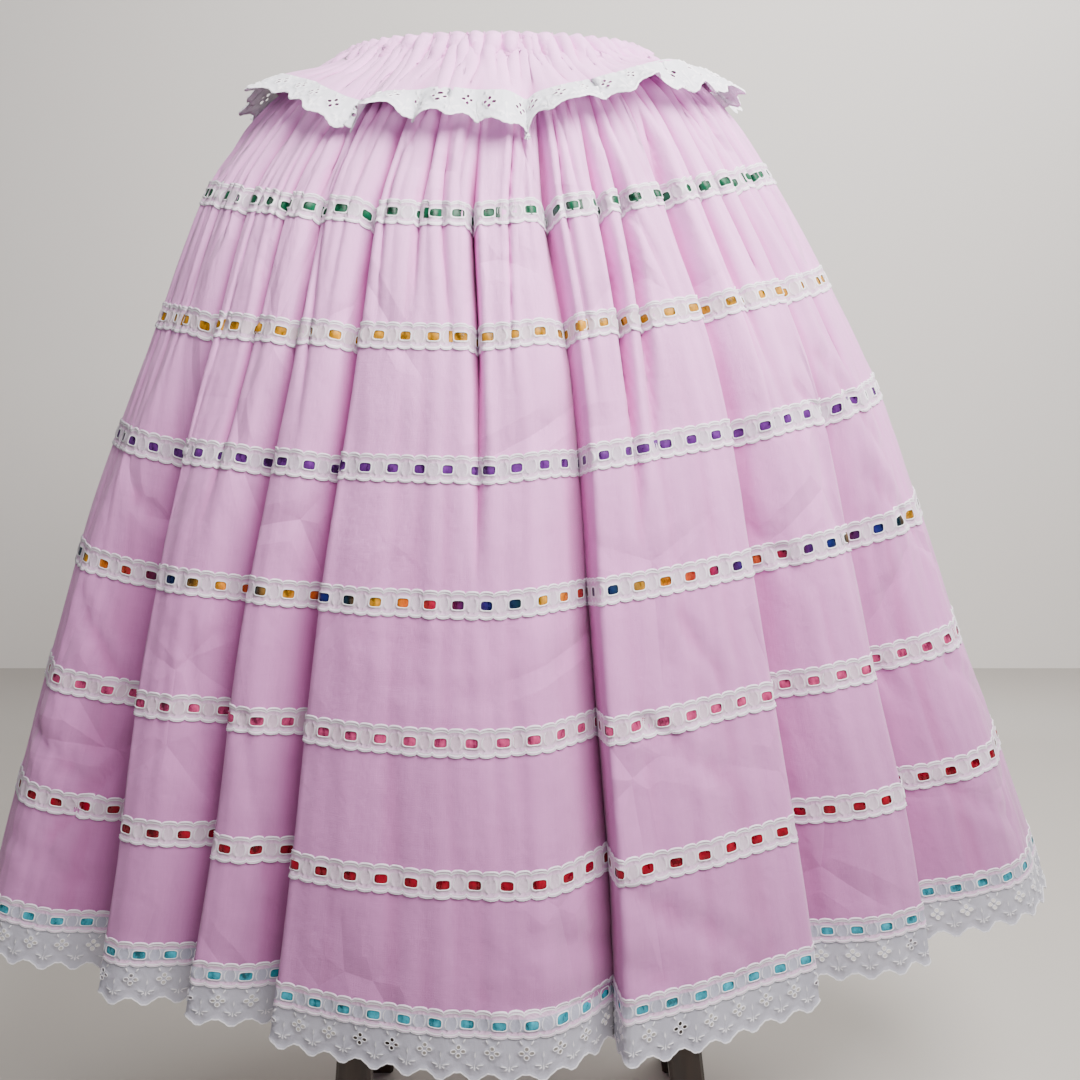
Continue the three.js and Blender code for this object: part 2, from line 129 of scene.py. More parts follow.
# The large valleys between the folds: angle at the top trim and at the hem, where it starts,
# its depth at the hem and at the top trim, half widths left and right, and its lean.
VALLEYS = (
    (-51, -49.2, 150, 100, 12, 24, 3.5, 4),
    (-31, -36.3, 170, 56, 12, 7, 2.5, 2.5),
    (-20.3, -26.4, 90, 46, 26, 6.5, 2.2, 2),
    (12, 6, 60, 46, 32, 6.5, 2.2, 2),
    (36, 30.2, 150, 52, 22, 2.5, 10, -2),
    (56, 46.6, 260, 62, 10, 3.5, 20, -2),
    (102, 101, 100, 82, 30, 9, 4, 2),
    (122, 120, 120, 74, 32, 8, 3, 2),
    (139, 138, 90, 60, 30, 7, 3, 1.5),
    (156, 157, 140, 52, 24, 6, 3, 1.5),
    (174, 176, 100, 46, 34, 5.5, 5.5, 0),
    (192, 193, 130, 54, 26, 3, 6, -1.5),
    (210, 210, 90, 62, 32, 3, 7, -2),
    (230, 231, 120, 80, 28, 3, 8, -2),
    (258, 258, 100, 78, 30, 4, 9, -2),
)

# Short valleys that start in the gathers and run out above the hem: angle at the top trim and
# lower down, depth, half width in degrees, where they are deepest and where they end.
SHORT_VALLEYS = (
    (-73, -70, 14, 2.6, 190, 420),
    (-61, -61, 12, 2.4, 170, 340),
    (-39, -41, 14, 2.2, 240, 520),
    (-11, -12, 9, 1.6, 150, 300),
    (-1.6, -2.9, 28, 2.2, 230, 560),
    (22, 15.5, 32, 2.2, 230, 520),
    (26.5, 17, 26, 2.2, 200, 470),
    (44, 40, 14, 2.2, 200, 400),
    (50, 47, 12, 1.8, 180, 330),
    (64, 61, 18, 2.4, 190, 430),
    (77, 75, 14, 2.4, 180, 380),
    (89, 88, 18, 2.6, 200, 460),
    (112, 111, 20, 2.4, 170, 400),
    (131, 130, 22, 2.4, 210, 500),
    (147, 148, 18, 2.2, 160, 330),
    (165, 166, 26, 2.4, 220, 470),
    (183, 184, 20, 2.2, 180, 360),
    (201, 201, 24, 2.4, 200, 450),
    (220, 220, 20, 2.4, 170, 380),
    (244, 244, 24, 2.6, 200, 480),
    (272, 272, 16, 2.6, 180, 400),
)

GATHERS = 56
GATHER_DEPTH = 6.5
GATHER_FADE = 100.0
GATHER_CREASES = 170
PEPLUM_CREASES = 130
SHORT_VALLEYS_FROM = 35.0
SAG_SHARE = 0.7
SAG_LIMIT = 1.0

# How far the panels, the beading and the peplum lie off their surfaces.
SKIN = 1.0
BAND = 1.15
FLOUNCE_OUT = 3.6

# Samples round one level, and the threads and rows of the smaller meshes.
LEVEL_SAMPLES = 6001
CASING_THREADS = 720
FLOUNCE_THREADS = 760
FLOUNCE_ROWS = 26

BEADING_PITCH = 25.5
BEADING_WIDTH = 25.0
BEADING_GROUND = 0.4
EDGING_GROUND = 0.25
RIBBON_WIDTH = 10.0
CAMERA_LENS = 36.1
CAMERA_PLACE = (0.017, -0.97879, 0.918)
CAMERA_PITCH = 13.8

# How the peplum hangs at each angle: extra drop of the cloth's edge and of the lace's edge,
# and extra reach outwards of the lace's edge.
PEPLUM_HANG = (
    (-90, 0, 10, -7), (-80, -4, 2, -8), (-72, -8, -12, -3), (-62, -7, -15, 2),
    (-50, -4, -12, 0), (-42, 1, -6, 0),
    (-38, 4, 2, -2), (-34, 6, 8, -3), (-30, 4, 13, -4), (-27.5, 1, 3, 0), (-25.5, -1, -9, 7),
    (-19.5, -3, -11, 8), (-17.5, -4, -3, 2), (-15, -5, 7, -3), (-13, -6, -6, 2),
    (-6, -6, -5, 1), (0, -5, 1, 0), (4.6, -4, 1, 0), (7.8, 1, 9, -2), (9.2, 3, 18, -4),
    (10.4, 2, 1, 2), (12, -2, -6, 2), (16, -4, -8, 3), (20, -6, -14, 7), (27, -8, -9, 0),
    (33, -10, -15, 3), (37.5, -12, -26, 11), (41, -13, -14, 2), (48, -15, -3, -3),
    (52, -14, -10, 2), (59, -11, -1, 0), (68, -7, -6, 3), (78, 0, 6, -5), (88, 4, 12, -6),
    (100, 2, -6, 5), (109, 4, 12, -2), (116, 2, -4, 3), (131, -4, -8, 2), (140, 3, 12, -3),
    (144, 1, -6, 4), (158, -5, -7, 0), (170, 2, 9, -2), (176, 0, -8, 6), (190, -4, -4, 0),
    (203, 4, 14, -3), (207, 1, -5, 4), (224, -4, -8, 0), (236, 3, 9, -2), (242, 0, -7, 5),
    (256, -4, -5, 0), (270, 0, 10, -7),
)
PEPLUM_WAVES = 22
PEPLUM_WAVE_DEPTH = 5.0
PEPLUM_LIFT = 5.0
LACE_LIFT = 11.0
SIDE_FLARE = 4.0

# Soft creases pressed into the cloth: angle and length of cloth at both ends, depth, width.
CREASES = (
    (-70, 560, -60, 640, 2.2, 13), (-76, 690, -62, 735, 2.6, 15), (-58, 700, -66, 800, 2.4, 14),
    (-74, 800, -56, 838, 2.0, 12), (-64, 455, -52, 500, 1.8, 12), (-40, 560, -38, 690, 1.6, 11),
    (-30, 640, -28, 780, 1.4, 10), (-16, 560, -4, 575, 1.2, 12), (-12, 590, 0, 610, 1.0, 12),
    (0, 800, 12, 850, 2.2, 14), (9, 770, 20, 838, 2.4, 15), (-4, 850, 6, 870, 1.6, 12),
    (14, 640, 22, 700, 1.8, 13), (20, 560, 24, 620, 1.4, 12), (34, 470, 40, 560, 1.6, 12),
    (56, 360, 66, 470, 2.2, 15), (60, 480, 72, 560, 2.0, 14), (52, 590, 58, 690, 1.8, 13),
    (66, 660, 78, 720, 2.2, 14), (58, 770, 70, 830, 2.0, 13), (46, 380, 52, 430, 1.6, 12),
    (84, 420, 92, 540, 2.2, 15), (96, 640, 90, 760, 2.0, 14), (110, 560, 116, 680, 1.8, 13),
    (128, 700, 134, 800, 2.0, 13), (150, 520, 144, 620, 1.6, 12), (166, 640, 170, 760, 1.8, 13),
    (184, 560, 190, 640, 1.6, 12), (202, 700, 198, 800, 2.0, 13), (222, 480, 218, 600, 1.8, 14),
    (242, 640, 250, 740, 2.2, 14), (266, 500, 260, 620, 2.0, 14), (274, 700, 266, 800, 2.2, 14),
)
# Millimetres of cloth in one degree, about half way down.
CREASE_DEGREE = 0.0175 * 420.0

RIBBONS = ("green", "gold", "purple", "multicolour", "rose", "red", "turquoise")
TINTS = {"green": 0.25, "gold": 0.3, "purple": 0.3, "multicolour": 0.2, "rose": 0.35,
         "red": 0.2, "turquoise": 0.7}
# Share of the slot pitch that is left where the lace is eased in with the gathers.
EASED = {"green": 0.84, "gold": 0.80, "purple": 0.81, "multicolour": 0.82, "rose": 0.92,
         "red": 0.97, "turquoise": 0.99}
# Slots in one round of the many coloured ribbon, and the share of a round where it starts.
CYCLE_SLOTS = 6.2
CYCLE_START = 0.4
MANY_COLOURS = (
    (0.40, 0.18, 0.006), (0.36, 0.065, 0.005), (0.20, 0.004, 0.02), (0.04, 0.004, 0.04),
    (0.005, 0.007, 0.07), (0.003, 0.014, 0.022), (0.40, 0.18, 0.006),
)


# Name, place, target, size, power and colour, in metres and watts.
LIGHTS = (
    ("key light", (0.46, -0.74, 1.74), (0.0, 0.0, 1.06), 0.8, 56.0, (1.0, 0.985, 0.965)),
    ("fill light", (-0.9, -1.7, 2.4), (0.0, 0.0, 1.1), 1.2, 6.0, (0.97, 0.97, 1.0)),
    ("back light", (1.6, 1.0, 2.4), (0.2, 0.8, 1.0), 1.2, 22.0, (1.0, 1.0, 1.0)),
    ("wall light", (0.9, 0.5, 2.6), (0.6, 1.15, 1.1), 1.0, 34.0, (1.0, 0.98, 0.95)),
)


# ---- the skirt's surface -------------------------------------------------------------------
def outline(along, column):
    """One column of OUTLINE along a smooth curve, with the same slopes as the solids."""
    x = OUTLINE[:, 0]
    y = OUTLINE[:, OUTLINE_COLUMNS.index(column)]
    low = np.maximum(np.arange(len(x)) - 1, 0)
    high = np.minimum(np.arange(len(x)) + 1, len(x) - 1)
    slope = (y[high] - y[low]) / (x[high] - x[low])
    i = np.clip(np.searchsorted(x, along, side="right") - 1, 0, len(x) - 2)
    span = x[i + 1] - x[i]
    t = (along - x[i]) / span
    rise = y[i + 1] - y[i]
    m0 = slope[i] * span
    m1 = slope[i + 1] * span
    return y[i] + t * m0 + t**2 * (3 * rise - 2 * m0 - m1) + t**3 * (m0 + m1 - 2 * rise)


def ease(value):
    clamped = np.clip(value, 0.0, 1.0)
    return clamped * clamped * (3.0 - 2.0 * clamped)


def turned(degrees):
    return (degrees + 180.0) % 360.0 - 180.0


def hump(distance, half):
    return np.cos(0.5 * np.pi * np.minimum(1.0, np.abs(distance) / half)) ** 2


def tuck(away, left, right):
    """A valley with a crisp lip on its narrow side and a gentle fall on the other."""
    half = np.where(away < 0, left, right)
    other = np.where(away < 0, right, left)
    t = np.minimum(1.0, np.abs(away) / half)
    crisp = (np.sqrt((1.0 - t) ** 2 + 0.0225) - 0.15) / 0.8612
    gentle = (1.0 - t) ** 1.8
    return np.where(half <= other, crisp, gentle)


def down_share(along):
    return np.clip((along - FIRST_TRIM) / (HEM_LACE_END - FIRST_TRIM), 0.0, 1.0)


def oval(degrees, along, inward, drop):
    """Points on the skirt's oval at a level, pushed in by a distance, in millimetres."""
    angle = np.radians(degrees)
    width = outline(along, "width")
    depth = outline(along, "depth")
    pinch = 1.0 - outline(along, "flat") * np.sin(2.0 * angle) ** 2
    nx = depth * np.sin(angle)
    ny = -width * np.cos(angle)
    size = np.hypot(nx, ny)
    x = width * np.sin(angle) - nx / size * inward
    y = -depth * np.cos(angle) * pinch - ny / size * inward
    yaw = math.radians(YAW_DEGREES) * np.clip(along / HEM_LACE_END, 0.0, 1.0)
    return np.stack([
        x * np.cos(yaw) - y * np.sin(yaw) + outline(along, "sway") + CENTRE[0],
        x * np.sin(yaw) + y * np.cos(yaw) + CENTRE[1],
        WAIST_HEIGHT - drop,
    ], axis=-1)


def level_drop(degrees, along):
    front = np.cos(np.radians(degrees)) ** 2
    right = np.maximum(0.0, np.sin(np.radians(degrees)))
    level = outline(along, "side") * (1.0 - front) + outline(along, "front") * front
    return level - outline(along, "lift") * right


def gather_inset(degrees, along):
    """The small uneven gathers under the waist, which die away down the cloth."""
    angle = np.radians(degrees)
    mixed = 0.62 + 0.38 * np.sin(5.0 * angle + 1.3 * np.sin(3.0 * angle))
    reach = GATHER_FADE * (1.0 + 0.35 * np.sin(11.0 * angle + 0.7) * np.sin(4.0 * angle))
    fade = np.exp(-((np.maximum(along, 0.0) / reach) ** 1.5))
    settled = ease(along / CASING_END)
    size = (1.0 - settled) + settled * mixed
    phase = GATHERS * angle + settled * (0.8 * np.sin(7.0 * angle) + 0.5 * np.sin(13.0 * angle))
    pleat = 0.5 - 0.5 * np.cos(phase)
    return GATHER_DEPTH * size * fade * pleat


def ripple(degrees, along):
    """Gentle unevenness of hanging cloth, from a few waves with no common length."""
    angle = np.radians(degrees)
    s = along / 100.0
    soft = np.sin(9.0 * angle + 0.5 * s) * np.sin(0.9 * s + 2.0 * np.sin(4.0 * angle))
    fine = np.sin(23.0 * angle - 0.6 * s + 1.7) * np.sin(1.7 * s + 5.0 * angle)
    small = np.sin(41.0 * angle + 1.1 * s) * np.sin(2.9 * s - 9.0 * angle + 0.4)
    hung = (np.sin(47.0 * angle + 2.2 * np.sin(7.0 * angle) + 0.15 * s) * (0.6 + 0.4 * fine)
            + 0.6 * np.sin(83.0 * angle + 3.0 * np.sin(5.0 * angle) - 0.2 * s) * (0.5 + 0.5 * soft)
            + 0.35 * np.sin(131.0 * angle + 2.5 * np.sin(11.0 * angle)))
    upright = ease((along - 40.0) / 120.0) * (0.8 + 0.2 * ease((along - 150.0) / 500.0))
    return (ease((along - 120.0) / 250.0) * (1.6 * soft + 1.0 * fine + 0.5 * small)
            + upright * hung)


def crease_depth(degrees, along):
    """The pressed creases, each with a slight rise on one side."""
    total = np.zeros_like(degrees)
    for angle0, along0, angle1, along1, depth, wide in CREASES:
        ax = turned(degrees - angle0) * CREASE_DEGREE
        ay = along - along0
        bx = turned(angle1 - angle0) * CREASE_DEGREE
        by = along1 - along0
        t = np.clip((ax * bx + ay * by) / (bx * bx + by * by), 0.0, 1.0)
        away = np.hypot(ax - t * bx, ay - t * by)
        taper = 0.35 + 0.65 * np.sin(np.pi * (0.12 + 0.76 * t))
        total += 1.5 * depth * hump(away, 0.8 * wide) * taper
        total -= 0.45 * depth * hump(away - 1.25 * wide, wide)
    return total


def uneven(count, step):
    """Evenly mixed values from 0 to 1 that never repeat a pattern."""
    return (np.arange(1, count + 1) * step) % 1.0


def gather_creases(degrees, along, count, first, shortest, spread, deepest):
    """Narrow tapering creases that run down from the gathers, no two alike."""
    angle = np.radians(degrees)
    per_degree = np.radians(1.0) * np.hypot(outline(along, "width") * np.cos(angle),
                                            outline(along, "depth") * np.sin(angle))
    at = -90.0 + 360.0 * (np.arange(count) + 0.8 * uneven(count, 0.7548)) / count
    start = first * uneven(count, 0.5698)
    end = start + shortest + spread * uneven(count, 0.6180) ** 2
    deep = deepest * (0.25 + 0.75 * uneven(count, 0.8191) ** 1.5)
    half = 2.4 + 5.0 * uneven(count, 0.6711)
    slant = 9.0 * (uneven(count, 0.4450) - 0.5)
    total = np.zeros_like(degrees)
    for i in range(count):
        down = np.clip((along - start[i]) / (end[i] - start[i]), 0.0, 1.0)
        away = turned(degrees - at[i] - slant[i] * (down - 0.4)) * per_degree
        close = np.clip(1.0 - np.abs(away) / half[i], 0.0, 1.0)
        taper = np.clip(6.0 * down, 0.0, 1.0) * (1.0 - down) ** 0.8
        total += deep[i] * taper * close * close
        total -= 0.3 * deep[i] * taper * hump(np.abs(away) - 1.1 * half[i], 0.8 * half[i])
    return total


def folds(degrees, along):
    """How far the folds take the cloth in, and how far they lean round, at each point."""
    inward = np.zeros_like(degrees)
    aside = np.zeros_like(degrees)
    down = down_share(along)
    for top, hem, start, deep, deep_top, left, right, lean in VALLEYS:
        away = turned(degrees - (top + (hem - top) * down))
        grown = ease((along - start) / (FOLDS_FULL_AT - start))
        early = ease((along - 0.3 * start) / 170.0) * (1.0 - 0.75 * grown)
        widened = np.clip(grown * 1.3, 0.0, 1.0)
        sides = [min(side, 2.8) * (1.0 - widened) + side * widened for side in (left, right)]
        shape = tuck(away, *sides)
        depth = deep * (0.82 * grown + 0.18) * np.clip(grown * 3.0, 0.0, 1.0)
        inward += np.maximum(depth, deep_top * early) * shape
        aside += lean * grown * shape
    for top, low, deep, half, full, end in SHORT_VALLEYS:
        away = turned(degrees - (top + (low - top) * down * 2.0))
        share = ease((along - SHORT_VALLEYS_FROM) / (full - SHORT_VALLEYS_FROM))
        share = share * (1.0 - ease((along - full) / (end - full)))
        inward += deep * share * tuck(away, 0.9 * half, 0.6 * half)
    return inward, aside


def skirt(degrees, along):
    """The outer face of the skirt: degrees round from the front, length down the cloth."""
    degrees, along = np.broadcast_arrays(np.asarray(degrees, float), np.asarray(along, float))
    deep, aside = folds(degrees, along)
    angle = np.radians(degrees)
    level = level_drop(degrees, along)
    spread = np.hypot((outline(along, "width") - OUTLINE[0, 4]) * np.sin(angle),
                      (outline(along, "depth") - OUTLINE[0, 5]) * np.cos(angle))
    slope = np.minimum(SAG_LIMIT, spread / np.maximum(level, 60.0))
    inward = deep + gather_inset(degrees, along) + ripple(degrees, along)
    inward += crease_depth(degrees, along)
    inward += gather_creases(degrees, along, GATHER_CREASES,
                             first=110.0, shortest=80.0, spread=300.0, deepest=11.0)
    inward = np.maximum(inward, -4.0)
    return oval(degrees + aside, along, inward, level + SAG_SHARE * slope * deep)


def hang(degrees):
    """The columns of PEPLUM_HANG at each angle, a little smoothed."""
    table = np.array(PEPLUM_HANG, float)
    wrapped = (degrees + 90.0) % 360.0 - 90.0
    return [sum(np.interp(wrapped + move, table[:, 0], table[:, i]) for move in (-0.7, 0.0, 0.7))
            / 3.0 for i in (1, 2, 3)]


def peplum(degrees, along):
    """The peplum and its lace, which hang outside the skirt's crests."""
    degrees, along = np.broadcast_arrays(np.asarray(degrees, float), np.asarray(along, float))
    angle = np.radians(degrees)
    down = np.clip((along - CASING_END) / (PEPLUM_END - CASING_END), 0.0, 1.0) ** 1.7
    laced = np.clip((along - PEPLUM_END) / (PEPLUM_LACE_END - PEPLUM_END), 0.0, 1.0)
    sideways = np.abs(np.sin(angle)) ** 6
    wave = 0.5 + 0.5 * np.sin(PEPLUM_WAVES * angle + 2.0 * np.sin(3.0 * angle))
    flutter = 0.5 + 0.5 * np.sin(37.0 * angle + 2.6 * np.sin(5.0 * angle))
    lift = PEPLUM_LIFT * down + (LACE_LIFT - PEPLUM_LIFT + SIDE_FLARE * sideways) * laced
    ruffle = PEPLUM_WAVE_DEPTH * wave * down * (1.0 + laced) + 3.0 * flutter * laced
    inset = gather_inset(degrees, along) * (1.0 - 0.8 * ease(down / 0.7))
    low, low_lace, reach = hang(degrees)
    drop = level_drop(degrees, along) + down * (low + (low_lace - low) * laced)
    lift = lift + reach * laced
    creases = gather_creases(degrees, along, PEPLUM_CREASES,
                             first=14.0, shortest=22.0, spread=80.0, deepest=14.0)
    inset = inset + creases * (1.0 - 0.6 * laced)
    return oval(degrees, along, inset - lift - ruffle, drop)


def off_surface(surface, degrees, along, out):
    """Points moved out from a surface by `out` millimetres, square to it."""
    point = surface(degrees, along)
    across = surface(degrees + 0.05, along) - surface(degrees - 0.05, along)
    down = surface(degrees, along + 0.8) - surface(degrees, along - 0.8)
    normal = np.cross(down, across)
    normal /= np.linalg.norm(normal, axis=-1, keepdims=True) + 1e-12
    return point + normal * np.asarray(out)[..., None]


# ---- following the folds -------------------------------------------------------------------
def follow(hem_degrees, along):
    """The angle at a level of the thread that has hem_degrees at the hem."""
    hem = np.array([v[1] for v in VALLEYS], float)
    top = np.array([v[0] for v in VALLEYS], float)
    hem = np.concatenate([[hem[-1] - 360.0], hem, [hem[0] + 360.0]])
    top = np.concatenate([[top[-1] - 360.0], top, [top[0] + 360.0]])
    wrapped = (hem_degrees + 90.0) % 360.0 - 90.0
    shift = np.interp(wrapped, hem, top - hem)
    seam = np.minimum(np.abs(turned(hem_degrees - 90.0)), np.abs(turned(hem_degrees + 90.0)))
    return hem_degrees + shift * (1.0 - down_share(along)) * np.clip(seam / 6.0, 0.0, 1.0)


def running_length(points):
    """The length of a line up to each of its points."""
    return np.concatenate([[0.0], np.cumsum(np.linalg.norm(np.diff(points, axis=0), axis=1))])


def thread_lengths(surface, along, start, end):
    """Angles and the length of cloth from the first of them, round one level."""
    degrees = np.linspace(start, end, LEVEL_SAMPLES)
    return degrees, running_length(surface(follow(degrees, along), np.full_like(degrees, along)))


def woven(surface, threads, levels, out):
    """The angles, the levels and the points where threads cross levels, off a surface."""
    along = np.repeat(np.asarray(levels, float)[:, None], len(threads), axis=1)
    degrees = follow(np.repeat(np.asarray(threads)[None, :], len(levels), axis=0), along)
    return degrees, along, off_surface(surface, degrees, along, np.broadcast_to(out, along.shape))


def even_columns(surface, levels, start, end, count):
    """Angles that share out the cloth evenly, as seen at several levels together."""
    total = 0.0
    for along in levels:
        degrees, lengths = thread_lengths(surface, along, start, end)
        total = total + lengths / lengths[-1]
    return np.interp(np.linspace(0.0, total[-1], count), total, degrees)


# ---- meshes --------------------------------------------------------------------------------
def make_object(name, points, faces, corner_uv):
    """A smooth mesh object from points in millimetres, with a UV for each corner."""
    mesh = bpy.data.meshes.new(name)
    faces = np.asarray(faces, np.int32)
    mesh.vertices.add(len(points))
    mesh.vertices.foreach_set("co", (np.asarray(points, float) / 1000.0).ravel())
    mesh.loops.add(faces.size)
    mesh.loops.foreach_set("vertex_index", faces.ravel())
    mesh.polygons.add(len(faces))
    starts = np.arange(0, faces.size, faces.shape[1], dtype=np.int32)
    mesh.polygons.foreach_set("loop_start", starts)
    mesh.polygons.foreach_set("use_smooth", np.ones(len(faces), bool))
    layer = mesh.uv_layers.new(name="cloth")
    layer.data.foreach_set("uv", np.asarray(corner_uv, np.float32).ravel())
    mesh.update(calc_edges=True)
    thing = bpy.data.objects.new(name, mesh)
    bpy.context.scene.collection.objects.link(thing)
    return thing


def grid(rows, columns, closed):
    """Quads over a grid, and each corner's row and column before it wraps round."""
    i, j = np.meshgrid(np.arange(rows - 1), np.arange(columns if closed else columns - 1),
                       indexing="ij")
    row = np.stack([i, i + 1, i + 1, i], axis=-1).reshape(-1, 4)
    column = np.stack([j, j, j + 1, j + 1], axis=-1).reshape(-1, 4)
    return row * columns + column % columns, row, column


def sunk(reach, half):
    """How far each point lies inside the mean of its neighbours round the skirt."""
    padded = np.pad(reach, ((0, 0), (half, half)), mode="edge")
    summed = np.cumsum(np.pad(padded, ((0, 0), (1, 0))), axis=1)
    return (summed[:, 2 * half + 1:] - summed[:, :-2 * half - 1]) / (2 * half + 1) - reach


def cloth_grid(name, surface, threads, levels, closed, out):
    """A cloth surface on threads that follow the folds, its cut as UVs in metres."""
    degrees, along, points = woven(surface, threads, levels, out)
    middle = points[int(len(levels) * 0.75)]
    around = running_length(np.concatenate([middle, middle[:1]]))
    faces, row, column = grid(len(levels), len(threads), closed)
    uv = np.stack([around[column], -np.asarray(levels)[row]], axis=-1) / 1000.0
    thing = make_object(name, points.reshape(-1, 3), faces, uv.reshape(-1, 2))
    # The fold shade attribute is a mask of painted shade: larger where a point sinks below its
    # neighbours and where the valleys are deep.
    reach = np.hypot(points[..., 0] - CENTRE[0], points[..., 1] - CENTRE[1])
    shade_in_hollows = np.clip(sunk(reach, 5) / 2.2 + sunk(reach, 14) / 7.0, 0.0, 0.75)
    add_attribute(thing, "fold", np.clip(shade_in_hollows + (folds(degrees, along)[0] - 6.0) / 44.0, 0, 1))
    return thing


def thicken(thing, millimetres, offset):
    """Gives a sheet its thickness, to the inside with offset -1 and the outside with 1."""
    modifier = thing.modifiers.new("thickness", "SOLIDIFY")
    modifier.thickness = millimetres / 1000.0
    modifier.offset = offset


def seat(thing, slot, material, *nodes):
    """Puts a finished piece in place of its CAD nodes and on the one body."""
    thing.data.materials.append(material)
    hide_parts(*nodes)
    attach(thing, "root")


# ---- lace, drawn flat and laid along a row -------------------------------------------------
def inside(points, polygon):
    """Which points lie inside a closed line, by counting crossings."""
    x, y = points[:, 0], points[:, 1]
    found = np.zeros(len(points), bool)
    for (x0, y0), (x1, y1) in zip(polygon, polygon[1:] + polygon[:1]):
        if y0 == y1:
            continue
        crosses = (y0 > y) != (y1 > y)
        found ^= crosses & (x < (x1 - x0) * (y - y0) / (y1 - y0) + x0)
    return found


def oval_line(x, y, half_x, half_y, count, turn=0.0, power=2.0):
    """A closed oval, squarer with a higher power."""
    line = []
    for i in range(count):
        angle = 2.0 * math.pi * (i + 0.5) / count
        c, s = math.cos(angle), math.sin(angle)
        px = half_x * math.copysign(abs(c) ** (2.0 / power), c)
        py = half_y * math.copysign(abs(s) ** (2.0 / power), s)
        line.append((
            x + px * math.cos(turn) - py * math.sin(turn),
            y + px * math.sin(turn) + py * math.cos(turn),
        ))
    return line


class Tile:
    """One repeat of lace, x along the row and y down, with its relief in millimetres."""

    def __init__(self, pitch, ground):
        self.pitch = pitch
        self.ground = ground
        self.points = []
        self.edges = []
        self.holes = []

    def line(self, points, height, closed=False):
        first = len(self.points)
        count = len(points)
        self.points += [(x, y, height) for x, y in points]
        last = count if closed else count - 1
        self.edges += [(first + i, first + (i + 1) % count) for i in range(last)]

    def eyelet(self, x, y, half_x, half_y, count, rim, height, turn=0.0, power=2.0):
        """A hole with a raised worked rim."""
        steps = ((0.0, 0.6 * height), (0.5 * rim, height), (rim, self.ground))
        for grow, level in steps:
            line = oval_line(x, y, half_x + grow, half_y + grow, count, turn, power)
            self.line(line, level, closed=True)
            if grow == 0.0:
                self.holes.append(line)

    def petal(self, x, y, length, wide, turn, height):
        """A raised satin-stitch leaf that starts at a point."""
        c, s = math.cos(turn), math.sin(turn)
        middle_x, middle_y = x + 0.5 * length * c, y + 0.5 * length * s
        self.line(oval_line(middle_x, middle_y, 0.5 * length, wide, 8, turn), self.ground, True)
        self.line([
            (x + 0.22 * length * c, y + 0.22 * length * s),
            (x + 0.8 * length * c, y + 0.8 * length * s),
        ], height)

    def fill(self, height, spacing, clear):
        """Adds points to the plain ground, the same on both side edges."""
        taken = np.array([p[:2] for p in self.points])
        columns = max(2, round(self.pitch / spacing))
        for row in range(int(height / spacing) + 1):
            y = (row + 0.5) * spacing
            for column in range(columns + 1):
                x = self.pitch * column / columns
                near = taken - (x % self.pitch, y)
                far = taken - (x % self.pitch + self.pitch, y)
                if min(np.hypot(*near.T).min(), np.hypot(*far.T).min()) > clear:
                    self.points.append((x, y, self.ground))

    def triangulate(self, top, bottom):
        """The triangles between two edge lines, without the holes."""
        self.line([top[0], bottom[0]], self.ground)
        self.line([top[-1], bottom[-1]], self.ground)
        result = delaunay_2d_cdt(
            [Vector(p[:2]) for p in self.points], self.edges, [], 0, 1e-4)
        points = np.array([tuple(p) for p in result[0]])
        given = np.array(self.points)
        height = np.array([
            max(given[i, 2] for i in source) if source else self.ground for source in result[3]
        ])
        faces = np.array([tuple(f) for f in result[2]])
        centres = points[faces].mean(axis=1)
        keep = inside(centres, top + bottom[::-1])
        for hole in self.holes:
            keep &= ~inside(centres, hole)
        faces = faces[keep][:, ::-1]
        corners = points[faces]
        double = np.cross(corners[:, 1] - corners[:, 0], corners[:, 2] - corners[:, 0])
        faces = faces[np.abs(double) > 1e-4]
        used = np.unique(faces)
        index = np.full(len(points), -1)
        index[used] = np.arange(len(used))
        return points[used], height[used], index[faces]


def lay(name, tile, surface, top, count, base):
    """Lays tiles round a row, welded to each other, and returns the object."""
    points, height, faces = tile
    pitch = points[:, 0].max()
    right = np.abs(points[:, 0] - pitch) < 1e-3
    left = np.flatnonzero(np.abs(points[:, 0]) < 1e-3)
    kept = np.flatnonzero(~right)
    place = np.full(len(points), -1)
    place[kept] = np.arange(len(kept))
    partner = np.zeros(len(points), int)
    for i in np.flatnonzero(right):
        partner[i] = left[np.argmin(np.abs(points[left, 1] - points[i, 1]))]
    tiles = np.arange(count)[:, None, None]
    wrapped = right[faces][None]
    low = place[np.where(right[faces], partner[faces], faces)][None]
    mesh_faces = ((tiles + wrapped) % count * len(kept) + low).reshape(-1, 3)
    u = (tiles + points[faces, 0][None] / pitch).reshape(-1)
    v = np.broadcast_to(points[faces, 1][None], (count,) + faces.shape).reshape(-1)
    row_x = (np.arange(count)[:, None] + points[kept, 0][None] / pitch) / count
    along = np.broadcast_to(top + points[kept, 1][None], row_x.shape)
    middle = top + 0.5 * points[:, 1].max()
    degrees, lengths = thread_lengths(surface, middle, *ALL_ROUND)
    threads = np.interp(row_x * lengths[-1], lengths, degrees)
    out = np.broadcast_to(base + height[kept][None], row_x.shape)
    placed = off_surface(surface, follow(threads, along), along, out)
    thing = make_object(name, placed.reshape(-1, 3), mesh_faces, np.stack([u, v], axis=-1))
    add_attribute(thing, "relief", np.broadcast_to(height[kept][None], row_x.shape))
    return thing


def add_attribute(thing, name, values):
    layer = thing.data.attributes.new(name, "FLOAT", "POINT")
    layer.data.foreach_set("value", np.asarray(values, np.float32).ravel())


def arches(centres, half, deep, edge, direction, shares):
    """Round arches side by side: their edge is at `edge` in the middle of each."""
    line = []
    for centre in centres:
        for t in shares:
            y = edge + direction * deep * (1.0 - math.sqrt(max(0.0, 1.0 - t * t)))
            line.append((centre + t * half, y))
    return line


